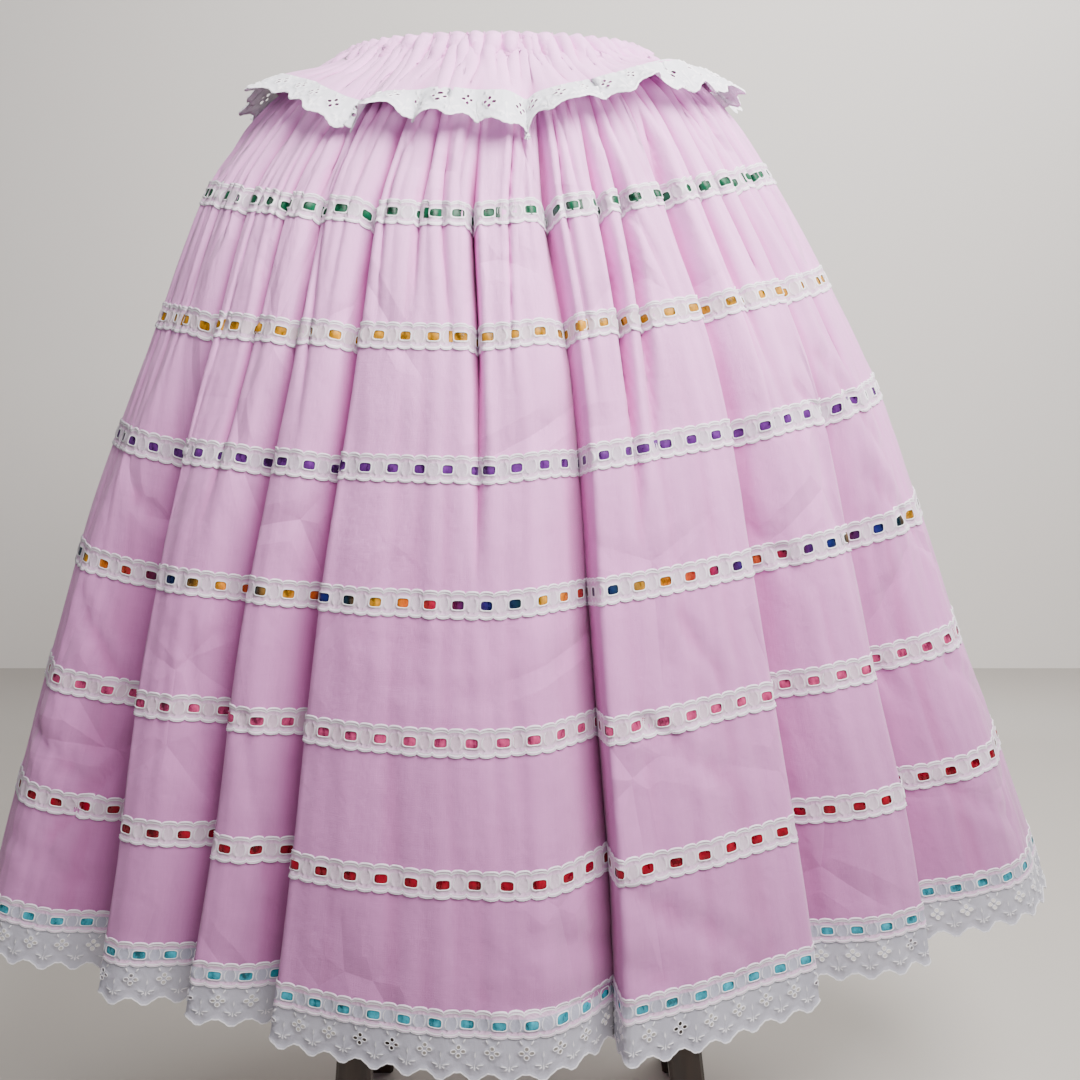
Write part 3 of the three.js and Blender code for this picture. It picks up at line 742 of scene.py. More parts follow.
def beading_tile():
    """Beading lace: a ribbon slot, corded scallops on both edges and a worked ring between."""
    pitch, tall = BEADING_PITCH, BEADING_WIDTH
    quarter = pitch / 4.0
    ground = BEADING_GROUND
    tile = Tile(pitch, ground)
    half_arch = (0.0, 0.45, 0.8)
    full_arch = (-1.0, -0.8, -0.45, 0.0, 0.45, 0.8)
    edges = []
    for edge, direction in ((0.0, 1.0), (tall, -1.0)):
        line = arches([0.0], quarter, 2.4, edge, direction, half_arch)
        line += arches([2 * quarter], quarter, 2.4, edge, direction, full_arch)
        line += arches([4 * quarter], quarter, 2.4, edge, direction, (-1.0, -0.8, -0.45, 0.0))
        for move, height in ((0.0, 0.1), (0.6, 1.2), (1.5, ground), (2.9, 0.9), (3.6, ground)):
            tile.line([(x, y + direction * move) for x, y in line], height)
        edges.append(line)
    tile.eyelet(2 * quarter, 0.5 * tall, 5.3, 3.8, 16, 1.1, 1.2, power=4.0)
    for side, direction in ((0.0, 1.0), (pitch, -1.0)):
        for reach, height in ((4.0, ground), (4.7, 0.75), (5.4, ground)):
            tile.line([
                (side + direction * reach * math.cos(turn), 0.5 * tall + 6.6 * math.sin(turn))
                for turn in (-1.15, -0.8, -0.4, 0.0, 0.4, 0.8, 1.15)
            ], height)
    tile.fill(tall, 4.0, 1.5)
    return tile.triangulate(edges[0], edges[1])


def edging_tile(pitch, tall, scallop, flower, sprig):
    """Edging lace: an eyelet flower over each notch and a worked sprig over each point."""
    ground = EDGING_GROUND
    tile = Tile(pitch, ground)
    size = pitch / 27.0
    top = [(pitch * i / 6.0, 0.0) for i in range(7)]
    bottom = []
    for i in range(21):
        turn = 2.0 * math.pi * i / 20.0
        low = (0.5 + 0.5 * math.cos(turn)) ** 1.3
        bottom.append((pitch * i / 20.0,
                       tall - scallop * (1.0 - low) + 0.7 * size * abs(math.sin(2.5 * turn))))
    tile.line(top, 0.1)
    for move, height in ((0.0, 0.2), (0.8, 1.35), (1.8, ground)):
        tile.line([(x, y - move) for x, y in bottom], height)
    middle = 0.5 * pitch
    reach = 3.9 * size
    for i in range(4):
        turn = 0.5 * math.pi * i
        tile.eyelet(
            middle + reach * math.cos(turn), flower + reach * math.sin(turn),
            1.9 * size, 1.6 * size, 8, 0.9 * size, 1.1, turn=turn)
    for side in (-1.0, 1.0):
        turn = -1.1 * side + (math.pi if side < 0 else 0.0)
        tile.petal(middle + side * 3.2 * size, flower - 7.4 * size, 5.0 * size, 0.75, turn, 1.2)
    for side, direction in ((0.0, 1.0), (pitch, -1.0)):
        for turn, drop, reach in ((-0.25, 1.0, 6.6), (0.75, 1.6, 3.6)):
            arm = turn if direction > 0 else math.pi - turn
            tile.petal(side + direction * 1.1, sprig + drop * size, reach * size, 0.8, arm, 1.3)
        low, high = sprig - 9.0 * size, sprig + 4.2 * size
        for half, height in ((0.9, ground), (0.0, 1.4)):
            tile.line([(side + direction * half, low + 1.0 - half),
                       (side + direction * half, high - 1.0 + half)], height)
    tile.fill(tall - scallop, 3.8, 1.7)
    return tile.triangulate(top, bottom)


# ---- nodes ---------------------------------------------------------------------------------
class Nodes:
    """Adds nodes and links to one tree."""

    def __init__(self, tree):
        self.tree = tree

    def add(self, kind, values=None, **settings):
        node = self.tree.nodes.new(kind)
        for key, value in settings.items():
            setattr(node, key, value)
        return self.feed(node, values or {})

    def feed(self, node, values):
        """Links sockets to a node's inputs, or sets the inputs to constants."""
        for key, value in values.items():
            if isinstance(value, bpy.types.NodeSocket):
                self.tree.links.new(value, node.inputs[key])
            else:
                node.inputs[key].default_value = value
        return node

    def math(self, operation, *values):
        return self.add("ShaderNodeMath", dict(enumerate(values)), operation=operation).outputs[0]

    def chain(self, operation, value, *others):
        """One operation over any number of values, two at a time."""
        for other in others:
            value = self.math(operation, value, other)
        return value

    def times(self, *factors):
        return self.chain("MULTIPLY", *factors)

    def parts(self, vector):
        return self.add("ShaderNodeSeparateXYZ", {0: vector}).outputs

    def uv(self):
        return self.add("ShaderNodeUVMap", uv_map="cloth").outputs[0]

    def attribute(self, name):
        return self.add("ShaderNodeAttribute", attribute_name=name).outputs["Fac"]

    def scaled(self, vector, scale):
        node = self.add("ShaderNodeVectorMath", {0: vector, 1: scale}, operation="MULTIPLY")
        return node.outputs[0]

    def between(self, factor, first, second):
        """A mix of two colours."""
        values = {0: factor, 6: first, 7: second}
        return self.add("ShaderNodeMix", values, data_type="RGBA").outputs[2]

    def shaded(self, colour, factor):
        """A colour made lighter or darker by a factor."""
        node = self.add("ShaderNodeVectorMath", {0: colour, "Scale": factor}, operation="SCALE")
        return node.outputs[0]

    def range(self, value, low, high, to_low=0.0, to_high=1.0):
        node = self.add("ShaderNodeMapRange", {
            "Value": value, "From Min": low, "From Max": high,
            "To Min": to_low, "To Max": to_high,
        })
        return node.outputs[0]

    def noise(self, vector, scale, detail=2.0, roughness=0.5):
        node = self.add("ShaderNodeTexNoise", {
            "Vector": vector, "Scale": scale, "Detail": detail, "Roughness": roughness,
        })
        return node.outputs[0]

    def bump(self, height, distance, strength=1.0, normal=None):
        values = {"Height": height, "Distance": distance, "Strength": strength}
        if normal is not None:
            values["Normal"] = normal
        return self.add("ShaderNodeBump", values).outputs[0]


def new_group(name, inputs, outputs):
    """An empty shader node group: its nodes, what it is given and its output node. Sockets are
    floats, but an input with no value is a vector."""
    tree = bpy.data.node_groups.new(name, "ShaderNodeTree")
    for socket, value in inputs.items():
        kind = "NodeSocketVector" if value is None else "NodeSocketFloat"
        made = tree.interface.new_socket(name=socket, in_out="INPUT", socket_type=kind)
        if value is not None:
            made.default_value = value
    for socket in outputs:
        tree.interface.new_socket(name=socket, in_out="OUTPUT", socket_type="NodeSocketFloat")
    nodes = Nodes(tree)
    return nodes, nodes.add("NodeGroupInput").outputs, nodes.add("NodeGroupOutput")


def group(name):
    """A shared effect by its name, built the first time that it is asked for."""
    return bpy.data.node_groups.get(name) or GROUPS[name](name)


def woven_threads(name):
    """Plain weave with thicker slubs here and there: a shade and a height."""
    nodes, given, put = new_group(
        name, {"Vector": None, "Threads": 2600.0, "Slubs": 0.5}, ("Shade", "Height"))
    parts = nodes.parts(given["Vector"])
    turns = nodes.times(given["Threads"], 2.0 * math.pi)
    warp, weft = (nodes.math("SINE", nodes.times(part, turns)) for part in (parts[0], parts[1]))
    long, wide = (nodes.noise(nodes.scaled(given["Vector"], scale), 1.0, 1.0)
                  for scale in ((1400.0, 35.0, 1.0), (30.0, 1300.0, 1.0)))
    slubs = nodes.math("SUBTRACT", nodes.math("ADD", long, wide), 1.0)
    height = nodes.math("MULTIPLY_ADD", nodes.times(warp, weft), 0.25,
                        nodes.times(slubs, given["Slubs"]))
    nodes.feed(put, {"Height": height, "Shade": nodes.math("MULTIPLY_ADD", height, 0.5, 0.5)})
    return nodes.tree


def uneven_tone_and_sheen(name):
    """Slow unevenness from 0 to 1: the random tone of a dyed or worn surface, and on satin a
    painted sheen.
    """
    nodes, given, put = new_group(
        name, {"Vector": None, "Scale": 6.0, "Contrast": 1.0}, ("Tone",))
    large = nodes.noise(given["Vector"], given["Scale"], 3.0, 0.6)
    centred = nodes.math("SUBTRACT", large, 0.5)
    nodes.feed(put, {"Tone": nodes.math("MULTIPLY_ADD", centred, given["Contrast"], 0.5)})
    return nodes.tree


def running_stitch(name):
    """A line of stitches: a mask, from the distance along and across the line."""
    nodes, given, put = new_group(
        name, {"Along": 0.0, "Across": 0.0, "Per Unit": 400.0, "Half Width": 0.0003}, ("Mask",))
    turn = nodes.math("FRACT", nodes.times(given["Along"], given["Per Unit"]))
    dash = nodes.range(nodes.math("PINGPONG", turn, 0.5), 0.1, 0.18)
    near = nodes.math("DIVIDE", nodes.math("ABSOLUTE", given["Across"]), given["Half Width"])
    nodes.feed(put, {"Mask": nodes.times(dash, nodes.range(near, 1.3, 0.7))})
    return nodes.tree


def embroidery(name):
    """Machine embroidery: fine satin threads, and a net ground where there is no relief."""
    nodes, given, put = new_group(
        name, {"Vector": None, "Relief": 0.0, "Ground": 0.5, "Net": 1.0},
        ("Raised", "Open", "Height"))
    above = nodes.math("SUBTRACT", given["Relief"], given["Ground"])
    raised = nodes.range(above, 0.02, 0.35)
    parts = nodes.parts(given["Vector"])
    waves = [nodes.math("SINE", nodes.times(nodes.math(way, parts[0], parts[1]), 2.0 * math.pi))
             for way in ("ADD", "SUBTRACT")]
    net = nodes.math("MULTIPLY_ADD", nodes.times(*waves), 0.5, 0.5)
    threads = nodes.noise(nodes.scaled(given["Vector"], (0.5, 0.5, 1.0)), 3.0, 2.0)
    smooth = nodes.times(net, nodes.math("SUBTRACT", 1.0, raised))
    nodes.feed(put, {"Raised": raised, "Open": nodes.times(smooth, given["Net"]),
                     "Height": nodes.math("ADD", smooth, threads)})
    return nodes.tree


GROUPS = {
    "Woven threads": woven_threads,
    "Uneven tone": uneven_tone_and_sheen,
    "Running stitch": running_stitch,
    "Embroidery": embroidery,
}


def effect(nodes, name, values):
    """The outputs of a shared effect, given its values."""
    return nodes.add("ShaderNodeGroup", values, node_tree=group(name)).outputs


def new_material(name, **constants):
    """A material with a Principled shader, its constants set on the sockets."""
    material = bpy.data.materials.new(name)
    material.use_nodes = True
    shader = material.node_tree.nodes["Principled BSDF"]
    for key, value in constants.items():
        shader.inputs[key.replace("_", " ")].default_value = value
    return material, Nodes(material.node_tree), shader


def rgba(colour):
    return (*tuple(colour)[:3], 1.0)


def cotton_material(name, seam_at=()):
    """Pink plain-weave cotton with slubs and soft handling marks; painted light makes its top
    paler, and painted shade makes it darker towards the hem and deeper in the folds.
    """
    material, nodes, shader = new_material(name, Roughness=0.82, Sheen_Weight=0.25,
                                           Sheen_Roughness=0.5, Specular_IOR_Level=0.25)
    cloth = nodes.uv()
    weave = effect(nodes, "Woven threads", {"Vector": cloth, "Threads": 2400.0, "Slubs": 0.8})
    tone = effect(nodes, "Uneven tone", {"Vector": cloth, "Scale": 9.0, "Contrast": 1.6})
    across, down = nodes.parts(cloth)[:2]
    # painted light: the pink turns paler towards the waist
    base = nodes.between(nodes.range(down, -0.55, 0.0),
                         rgba(colours().cotton), rgba(colours().cotton_painted_light))
    # painted shade: a deeper, darker pink where the cloth folds in
    base = nodes.between(nodes.attribute("fold"), base, rgba(colours().cotton_painted_fold_shade))
    # random darker and lighter vertical streaks
    vertical_streaks = nodes.noise(nodes.scaled(cloth, (26.0, 1.4, 1.0)), 1.0, 3.0, 0.6)
    # painted shade: the range over down darkens the cloth towards the hem, as if less light
    # reached it
    shade = nodes.times(nodes.math("MULTIPLY_ADD", weave["Shade"], 0.16, 0.92),
                        nodes.range(down, -0.9, -0.28, 0.64, 1.03),
                        nodes.range(tone["Tone"], 0.0, 1.0, 0.95, 1.05),
                        nodes.range(vertical_streaks, 0.32, 0.68, 0.90, 1.07))
    stretched = nodes.scaled(cloth, (1.0, 0.7, 1.0))
    normal = nodes.bump(nodes.noise(stretched, 38.0, 3.0, 0.55), 0.0030, 0.6)
    cracks = nodes.add("ShaderNodeTexVoronoi", {"Vector": stretched, "Scale": 8.0},
                       feature="DISTANCE_TO_EDGE").outputs["Distance"]
    here = nodes.range(nodes.noise(cloth, 6.0, 1.0), 0.44, 0.58)
    pressed = nodes.times(nodes.range(cracks, 0.0, 0.10, 1.0, 0.0), here)
    normal = nodes.bump(pressed, -0.0028, 0.95, normal)
    normal = nodes.bump(weave["Height"], 0.00022, 0.6, normal)
    stitched = [effect(nodes, "Running stitch", {
        "Along": across, "Across": nodes.math("ADD", down, level / 1000.0),
        "Per Unit": 380.0, "Half Width": 0.00035})["Mask"] for level in seam_at]
    if stitched:
        normal = nodes.bump(nodes.chain("MAXIMUM", *stitched), 0.0004, 1.0, normal)
    nodes.feed(shader, {"Base Color": nodes.shaded(base, shade), "Normal": normal})
    return material


def lace_material(name, ground, net, plain, tint=None):
    """White embroidered lace over net, with a ribbon's tint showing through it."""
    material, nodes, shader = new_material(name, Roughness=0.7, Sheen_Weight=0.15,
                                           Specular_IOR_Level=0.35)
    cloth = nodes.uv()
    worked = effect(nodes, "Embroidery", {
        "Vector": nodes.scaled(cloth, (14.0, 0.55, 1.0)), "Relief": nodes.attribute("relief"),
        "Ground": ground, "Net": net,
    })
    flat = rgba(plain)
    if tint is None:
        alpha = nodes.math("SUBTRACT", 1.0, nodes.times(worked["Open"], 0.5))
        nodes.feed(shader, {"Alpha": alpha})
    else:
        away = nodes.math("SUBTRACT", nodes.parts(cloth)[1], 0.5 * BEADING_WIDTH)
        behind = nodes.times(nodes.range(nodes.math("ABSOLUTE", away), 6.0, 5.0), 0.8)
        flat = nodes.between(behind, flat, tint)
    net_white = nodes.math("MULTIPLY_ADD", worked["Open"], 0.8, worked["Raised"])
    base = nodes.between(nodes.math("MINIMUM", net_white, 1.0), flat, rgba(colours().lace))
    nodes.feed(shader, {"Base Color": base, "Normal": nodes.bump(worked["Height"], 0.0004, 0.8)})
    return material


def satin_material(name, colour, cycle=None):
    """Woven satin ribbon, of one colour or changing along its length, with a painted sheen that
    makes it lighter and darker along the ribbon.
    """
    material, nodes, shader = new_material(name, Anisotropic=0.5, Specular_IOR_Level=0.3)
    cloth = nodes.uv()
    base = tuple(colour)
    if cycle:
        turn = nodes.math("MULTIPLY_ADD", nodes.parts(cloth)[0], 1.0 / CYCLE_SLOTS, CYCLE_START)
        ramp = nodes.add("ShaderNodeValToRGB", {"Fac": nodes.math("FRACT", turn)})
        stops = ramp.color_ramp.elements
        while len(stops) < len(cycle):
            stops.new(0.5)
        for i, (stop, shade) in enumerate(zip(stops, cycle)):
            stop.position = i / (len(cycle) - 1)
            stop.color = rgba(shade)
        base = ramp.outputs[0]
    # painted sheen: this tone makes the ribbon's colour from 0.35 to 2.4 times as bright, painted
    # highlights and shade along the ribbon
    tone = effect(nodes, "Uneven tone", {"Vector": nodes.scaled(cloth, (2.2, 0.05, 1.0)),
                                         "Scale": 1.3, "Contrast": 2.6})["Tone"]
    weave = effect(nodes, "Woven threads", {"Vector": nodes.scaled(cloth, (60.0, 3.0, 1.0)),
                                            "Threads": 1.0, "Slubs": 0.1})
    nodes.feed(shader, {
        "Base Color": nodes.shaded(base, nodes.range(tone, 0.1, 0.95, 0.35, 2.4)),
        "Roughness": nodes.range(tone, 0.2, 0.8, 0.24, 0.38),
        "Normal": nodes.bump(weave["Height"], 0.0001, 0.5),
    })
    return material


def wood_material(name, axis):
    """Dark stained wood with grain that runs along one axis, 0 to 2 for X to Z."""
    material, nodes, shader = new_material(name, Coat_Weight=0.25, Coat_Roughness=0.35,
                                           Specular_IOR_Level=0.4)
    place = nodes.add("ShaderNodeTexCoord").outputs["Object"]
    fine, coarse = [90.0, 90.0, 90.0], [26.0, 26.0, 26.0]
    fine[axis], coarse[axis] = 4.0, 1.6
    grain = nodes.noise(nodes.scaled(place, fine), 1.0, 5.0, 0.65)
    bands = nodes.noise(nodes.scaled(place, coarse), 1.0, 3.0, 0.5)
    rings = nodes.math("PINGPONG", nodes.math("FRACT", nodes.times(bands, 7.0)), 0.5)
    tone = effect(nodes, "Uneven tone", {"Vector": place, "Scale": 5.0, "Contrast": 1.4})["Tone"]
    factor = nodes.times(nodes.math("ADD", rings, grain), 0.62,
                         nodes.range(tone, 0.2, 0.8, 0.6, 1.15))
    nodes.feed(shader, {
        "Base Color": nodes.between(factor, rgba(colours().wood), rgba(colours().wood_pale)),
        "Roughness": nodes.range(grain, 0.3, 0.7, 0.42, 0.6),
        "Normal": nodes.bump(grain, 0.0006, 0.6),
    })
    return material


def backdrop_material(name, colour, roughness, scale):
    """A painted surface with faint unevenness, whose back is clear and hides nothing."""
    material, nodes, shader = new_material(name, Roughness=roughness)
    place = nodes.add("ShaderNodeTexCoord").outputs["Object"]
    tone = effect(nodes, "Uneven tone", {"Vector": place, "Scale": scale, "Contrast": 0.6})
    darker = tuple(0.94 * c for c in colour)
    nodes.feed(shader, {"Base Color": nodes.between(tone["Tone"], rgba(darker), rgba(colour))})
    behind = nodes.add("ShaderNodeNewGeometry").outputs["Backfacing"]
    clear = nodes.add("ShaderNodeBsdfTransparent").outputs[0]
    seen = nodes.add("ShaderNodeMixShader", {0: behind, 1: shader.outputs[0], 2: clear})
    nodes.feed(material.node_tree.nodes["Material Output"], {"Surface": seen.outputs[0]})
    return material


# ---- sizes and colours that a user would change --------------------------------------------
def length_setting(name, description, default):
    return bpy.props.FloatProperty(
        name=name, description=description, default=default, min=0.0, unit="LENGTH", precision=4)


def colour_setting(name, description, default):
    return bpy.props.FloatVectorProperty(
        name=name, description=description, default=default, size=3, min=0.0, max=1.0,
        subtype="COLOR")


class SkirtSizes(bpy.types.PropertyGroup):
    """Thicknesses and pitches of the sewn parts."""

    cloth: length_setting("Cloth", "Thickness of the cotton", 0.001)
    slots: length_setting("Slot pitch", "Distance between ribbon slots", 0.0255)
    scallops: length_setting("Hem scallops", "Width of a scallop on the hem lace", 0.027)
    small_scallops: length_setting("Peplum scallops", "Width of a peplum scallop", 0.021)
    panel_columns: bpy.props.IntProperty(
        name="Panel threads", description="Columns of mesh across each skirt panel",
        default=500, min=60, max=640)
    panel_rows: bpy.props.IntProperty(
        name="Panel rows", description="Rows of mesh down each skirt panel",
        default=72, min=20, max=160)


class SkirtColours(bpy.types.PropertyGroup):
    """Base colours of the cloth, lace, ribbons, wood and stage, and the painted light and shade of
    the cloth and the hem lace.
    """

    cotton: colour_setting("Cotton", "Pink of the cloth", (0.84, 0.32, 0.72))
    # painted light: a paler pink for the top of the cloth
    cotton_painted_light: colour_setting("Cotton by the waist", "Paler pink of the top", (0.86, 0.42, 0.79))
    # painted shade: a deeper, darker pink for the folds
    cotton_painted_fold_shade: colour_setting("Cotton in folds", "Deeper pink in the folds", (0.74, 0.24, 0.59))
    lace: colour_setting("Lace", "White of the worked lace", (0.92, 0.89, 0.94))
    lace_ground: colour_setting("Beading ground", "Net of the beading lace", (0.76, 0.43, 0.70))
    # painted shade: the hem edging's ground is far darker than the peplum lace's, for the shade
    # low on the skirt
    edging_shaded_ground: colour_setting("Edging ground", "Ground of the edging lace",
                                  (0.43, 0.42, 0.52))
    peplum_ground: colour_setting("Peplum lace ground", "Ground of the peplum's lace",
                                  (0.84, 0.84, 0.92))
    green: colour_setting("Green ribbon", "Top row's ribbon", (0.0, 0.048, 0.02))
    gold: colour_setting("Gold ribbon", "Second row's ribbon", (0.31, 0.135, 0.002))
    purple: colour_setting("Purple ribbon", "Third row's ribbon", (0.065, 0.012, 0.11))
    rose: colour_setting("Rose ribbon", "Fifth row's ribbon", (0.33, 0.035, 0.11))
    red: colour_setting("Red ribbon", "Sixth row's ribbon", (0.17, 0.0, 0.008))
    turquoise: colour_setting("Turquoise ribbon", "Hem row's ribbon", (0.02, 0.22, 0.29))
    wood: colour_setting("Wood", "Dark stain of the stand", (0.020, 0.011, 0.008))
    wood_pale: colour_setting("Wood grain", "Worn grain of the stand", (0.085, 0.048, 0.030))
    floor: colour_setting("Floor", "Pale floor", (0.54, 0.51, 0.47))
    wall: colour_setting("Wall", "Pale backdrop", (0.82, 0.79, 0.75))


def sizes():
    return bpy.context.scene.skirt_sizes


def colours():
    return bpy.context.scene.skirt_colours


def cotton_sheet(thing, material, node):
    """Gives a cut piece of cotton its wall and puts it in place of its node."""
    thicken(thing, 1000.0 * sizes().cloth, -1.0)
    seat(thing, "cotton", material, node)


class SKIRT_OT_panels(bpy.types.Operator):
    """Front and back panels, gathered at the waist and hanging in folds"""

    bl_idname = "skirt.panels"
    bl_label = "Skirt panels"

    def execute(self, context):
        material = cotton_material("pink cotton")
        levels = 1.0 + HEM * np.linspace(0.0, 1.0, sizes().panel_rows) ** 0.93
        panels = (("front_panel", "skirt_front", LEFT_SEAM, RIGHT_SEAM),
                  ("back_panel", "skirt_back", RIGHT_SEAM, ALL_ROUND[1]))
        for name, node, start, end in panels:
            threads = even_columns(skirt, (205, 400, 640, 880), start, end,
                                   sizes().panel_columns)
            panel = cloth_grid(name, skirt, threads, levels, closed=False, out=SKIN)
            cotton_sheet(panel, material, node)
        return {"FINISHED"}


class SKIRT_OT_waist(bpy.types.Operator):
    """Gathered casing for the waist elastic"""

    bl_idname = "skirt.waist"
    bl_label = "Waist casing"

    def execute(self, context):
        material = cotton_material("pink cotton casing", seam_at=(5.0, 19.5))
        threads = np.linspace(*ALL_ROUND, CASING_THREADS + 1)[:-1]
        # the section of the casing: length down the cloth, and distance off the surface
        profile = np.array([
            (24.0, 1.2), (22.5, 2.0), (20.5, 2.3), (19.5, 1.9), (17.0, 2.7), (12.0, 3.1),
            (7.5, 2.8), (5.0, 1.9), (3.4, 2.4), (1.2, 2.4), (-0.6, 1.4), (-0.6, 0.2), (1.2, -0.1),
            (24.0, 0.1),
        ])[::-1]
        angle = np.radians(threads)
        crimp = 0.55 * np.sin(143.0 * angle + 1.4 * np.sin(9.0 * angle)) * np.sin(
            31.0 * angle + 0.9)
        out = np.repeat(profile[:, 1:], len(threads), axis=1)
        out = out + crimp[None, :] * np.clip(out - 0.4, 0.0, 1.0)
        points = woven(skirt, threads, profile[:, 0], out)[2]
        faces, row, column = grid(len(profile), len(threads), closed=True)
        uv = np.stack([column * (0.9 / len(threads)), -profile[row, 0] / 1000.0], axis=-1)
        casing = make_object("waist_band", points.reshape(-1, 3), faces, uv.reshape(-1, 2))
        # painted shade in the sunk parts of the crimped casing
        add_attribute(casing, "fold", np.clip(0.4 - crimp, 0.0, 1.0)[None].repeat(len(profile), 0))
        seat(casing, "cotton", material, "waist_casing")
        return {"FINISHED"}


class SKIRT_OT_peplum(bpy.types.Operator):
    """Short free flounce over the top of the skirt"""

    bl_idname = "skirt.peplum"
    bl_label = "Peplum"

    def execute(self, context):
        material = bpy.data.materials["pink cotton"]
        levels = np.linspace(1.5, PEPLUM_END + 3.0, FLOUNCE_ROWS)
        threads = even_columns(peplum, (30, 60, 73), *ALL_ROUND, FLOUNCE_THREADS + 1)[:-1]
        flounce = cloth_grid("flounce", peplum, threads, levels, closed=True, out=FLOUNCE_OUT)
        cotton_sheet(flounce, material, "peplum")
        return {"FINISHED"}


class SKIRT_OT_edgings(bpy.types.Operator):
    """Scalloped eyelet lace on the peplum and on the hem"""

    bl_idname = "skirt.edgings"
    bl_label = "Edging lace"

    def execute(self, context):
        # name, node, surface, top edge, height, pitch, depth of the scallops, levels of the
        # flowers and the sprigs, distance off the surface, what it is sewn to, ground
        # the hem's ground colour is darkened with painted shade
        jobs = (
            ("hem_edging", "hem_lace", skirt, HEM - 2.0, 42.0, 1000.0 * sizes().scallops, 7.5,
             14.5, 26.5, 1.1, "back_panel", colours().edging_shaded_ground),
            ("flounce_edging", "peplum_lace", peplum, PEPLUM_END - 1.0, 27.0,
             1000.0 * sizes().small_scallops, 4.5, 10.5, 18.0, 3.8, "flounce",
             colours().peplum_ground),
        )
        for (name, node, surface, top, tall, pitch, scallop, flower, sprig, base, sewn,
             plain) in jobs:
            material = lace_material("eyelet lace, " + name, EDGING_GROUND, 0.35, plain)
            tile = edging_tile(pitch, tall, scallop, flower, sprig)
            length = thread_lengths(surface, top + 0.5 * tall, *ALL_ROUND)[1][-1]
            edging = lay(name, tile, surface, top, round(length / pitch), base)
            seat(edging, "lace", material, node)
        return {"FINISHED"}


class SKIRT_OT_trims(bpy.types.Operator):
    """Seven rows of beading lace with satin ribbon through the slots"""

    bl_idname = "skirt.trims"
    bl_label = "Beading lace and ribbons"

    def execute(self, context):
        tile = beading_tile()
        for row, name in enumerate(RIBBONS):
            cycle = MANY_COLOURS if name == "multicolour" else None
            colour = (0.3, 0.1, 0.25) if cycle else getattr(colours(), name)
            strength = TINTS[name]
            white = [0.5 * (a + b) for a, b in zip(colours().lace, colours().lace_ground)]
            tint = rgba([w + (c - w) * strength for c, w in zip(colour, white)])
            lace = lace_material("beading lace over " + name, BEADING_GROUND, 0.45,
                                 colours().lace_ground, tint)
            satin = satin_material(name + " satin", colour, cycle)
            top = FIRST_TRIM + row * TRIM_PITCH - 0.5 * BEADING_WIDTH
            length = thread_lengths(skirt, top + 0.5 * BEADING_WIDTH, *ALL_ROUND)[1][-1]
            pitch = 1000.0 * sizes().slots
            count = round(length / (EASED[name] * pitch))
            band = lay("beading_" + name, tile, skirt, top, count, BAND)
            seat(band, "lace", lace, "trim_" + name)
            ribbon = self.ribbon(name, top, count)
            seat(ribbon, "ribbon_" + name, satin)
        return {"FINISHED"}

    def ribbon(self, name, top, count):
        """A satin strip that swells a little in each slot of its beading lace."""
        steps = (0.0, 0.3, 0.38, 0.46, 0.54, 0.62, 0.7)
        rows = np.array([-0.5, -0.42, -0.25, 0.0, 0.25, 0.42, 0.5]) * RIBBON_WIDTH
        arch = np.cos(0.5 * np.pi * np.clip(rows / 4.0, -1.0, 1.0))[:, None]
        rows = rows + 0.5 * BEADING_WIDTH
        x = (np.arange(count)[:, None] + np.array(steps)[None]).ravel()
        degrees, lengths = thread_lengths(skirt, top + 0.5 * BEADING_WIDTH, *ALL_ROUND)
        threads = np.interp(x / count * lengths[-1], lengths, degrees)
        slot = np.floor(x)
        inside_slot = hump(x - slot - 0.5, 0.2)
        tilt = 0.4 * np.sin(slot * 2.399 + 0.6) * (x - slot - 0.5) / 0.16
        swell = 0.62 + 0.22 * np.sin(slot * 1.618 + 1.0) + tilt
        out = BAND + 0.12 + inside_slot[None] * swell[None] * arch
        points = woven(skirt, threads, top + rows, out)[2]
        faces, row, column = grid(len(rows), len(x), closed=True)
        turns = np.append(x, float(count))
        uv = np.stack([turns[column], rows[row]], axis=-1).reshape(-1, 2)
        return make_object("ribbon_strip_" + name, points.reshape(-1, 3), faces, uv)


class SKIRT_OT_stand(bpy.types.Operator):
    """Stained wood on the stand's legs, rails and top"""

    bl_idname = "skirt.stand"
    bl_label = "Stand"

    def execute(self, context):
        woods = [wood_material("stained wood along " + letter, axis)
                 for axis, letter in enumerate("XYZ")]
        parts = [n for n in frame["nodes"] if n.startswith(("leg_", "stretcher_", "stand_"))]
        if not parts:
            raise RuntimeError("the frame has no stand to finish")
        for name in parts:
            node = bpy.data.objects[name]
            wood = woods[max(range(3), key=lambda axis: node.dimensions[axis])]
            for material_slot in node.material_slots:
                material_slot.link = "OBJECT"
                material_slot.material = wood
            if not node.material_slots:
                node.data.materials.append(wood)
        return {"FINISHED"}


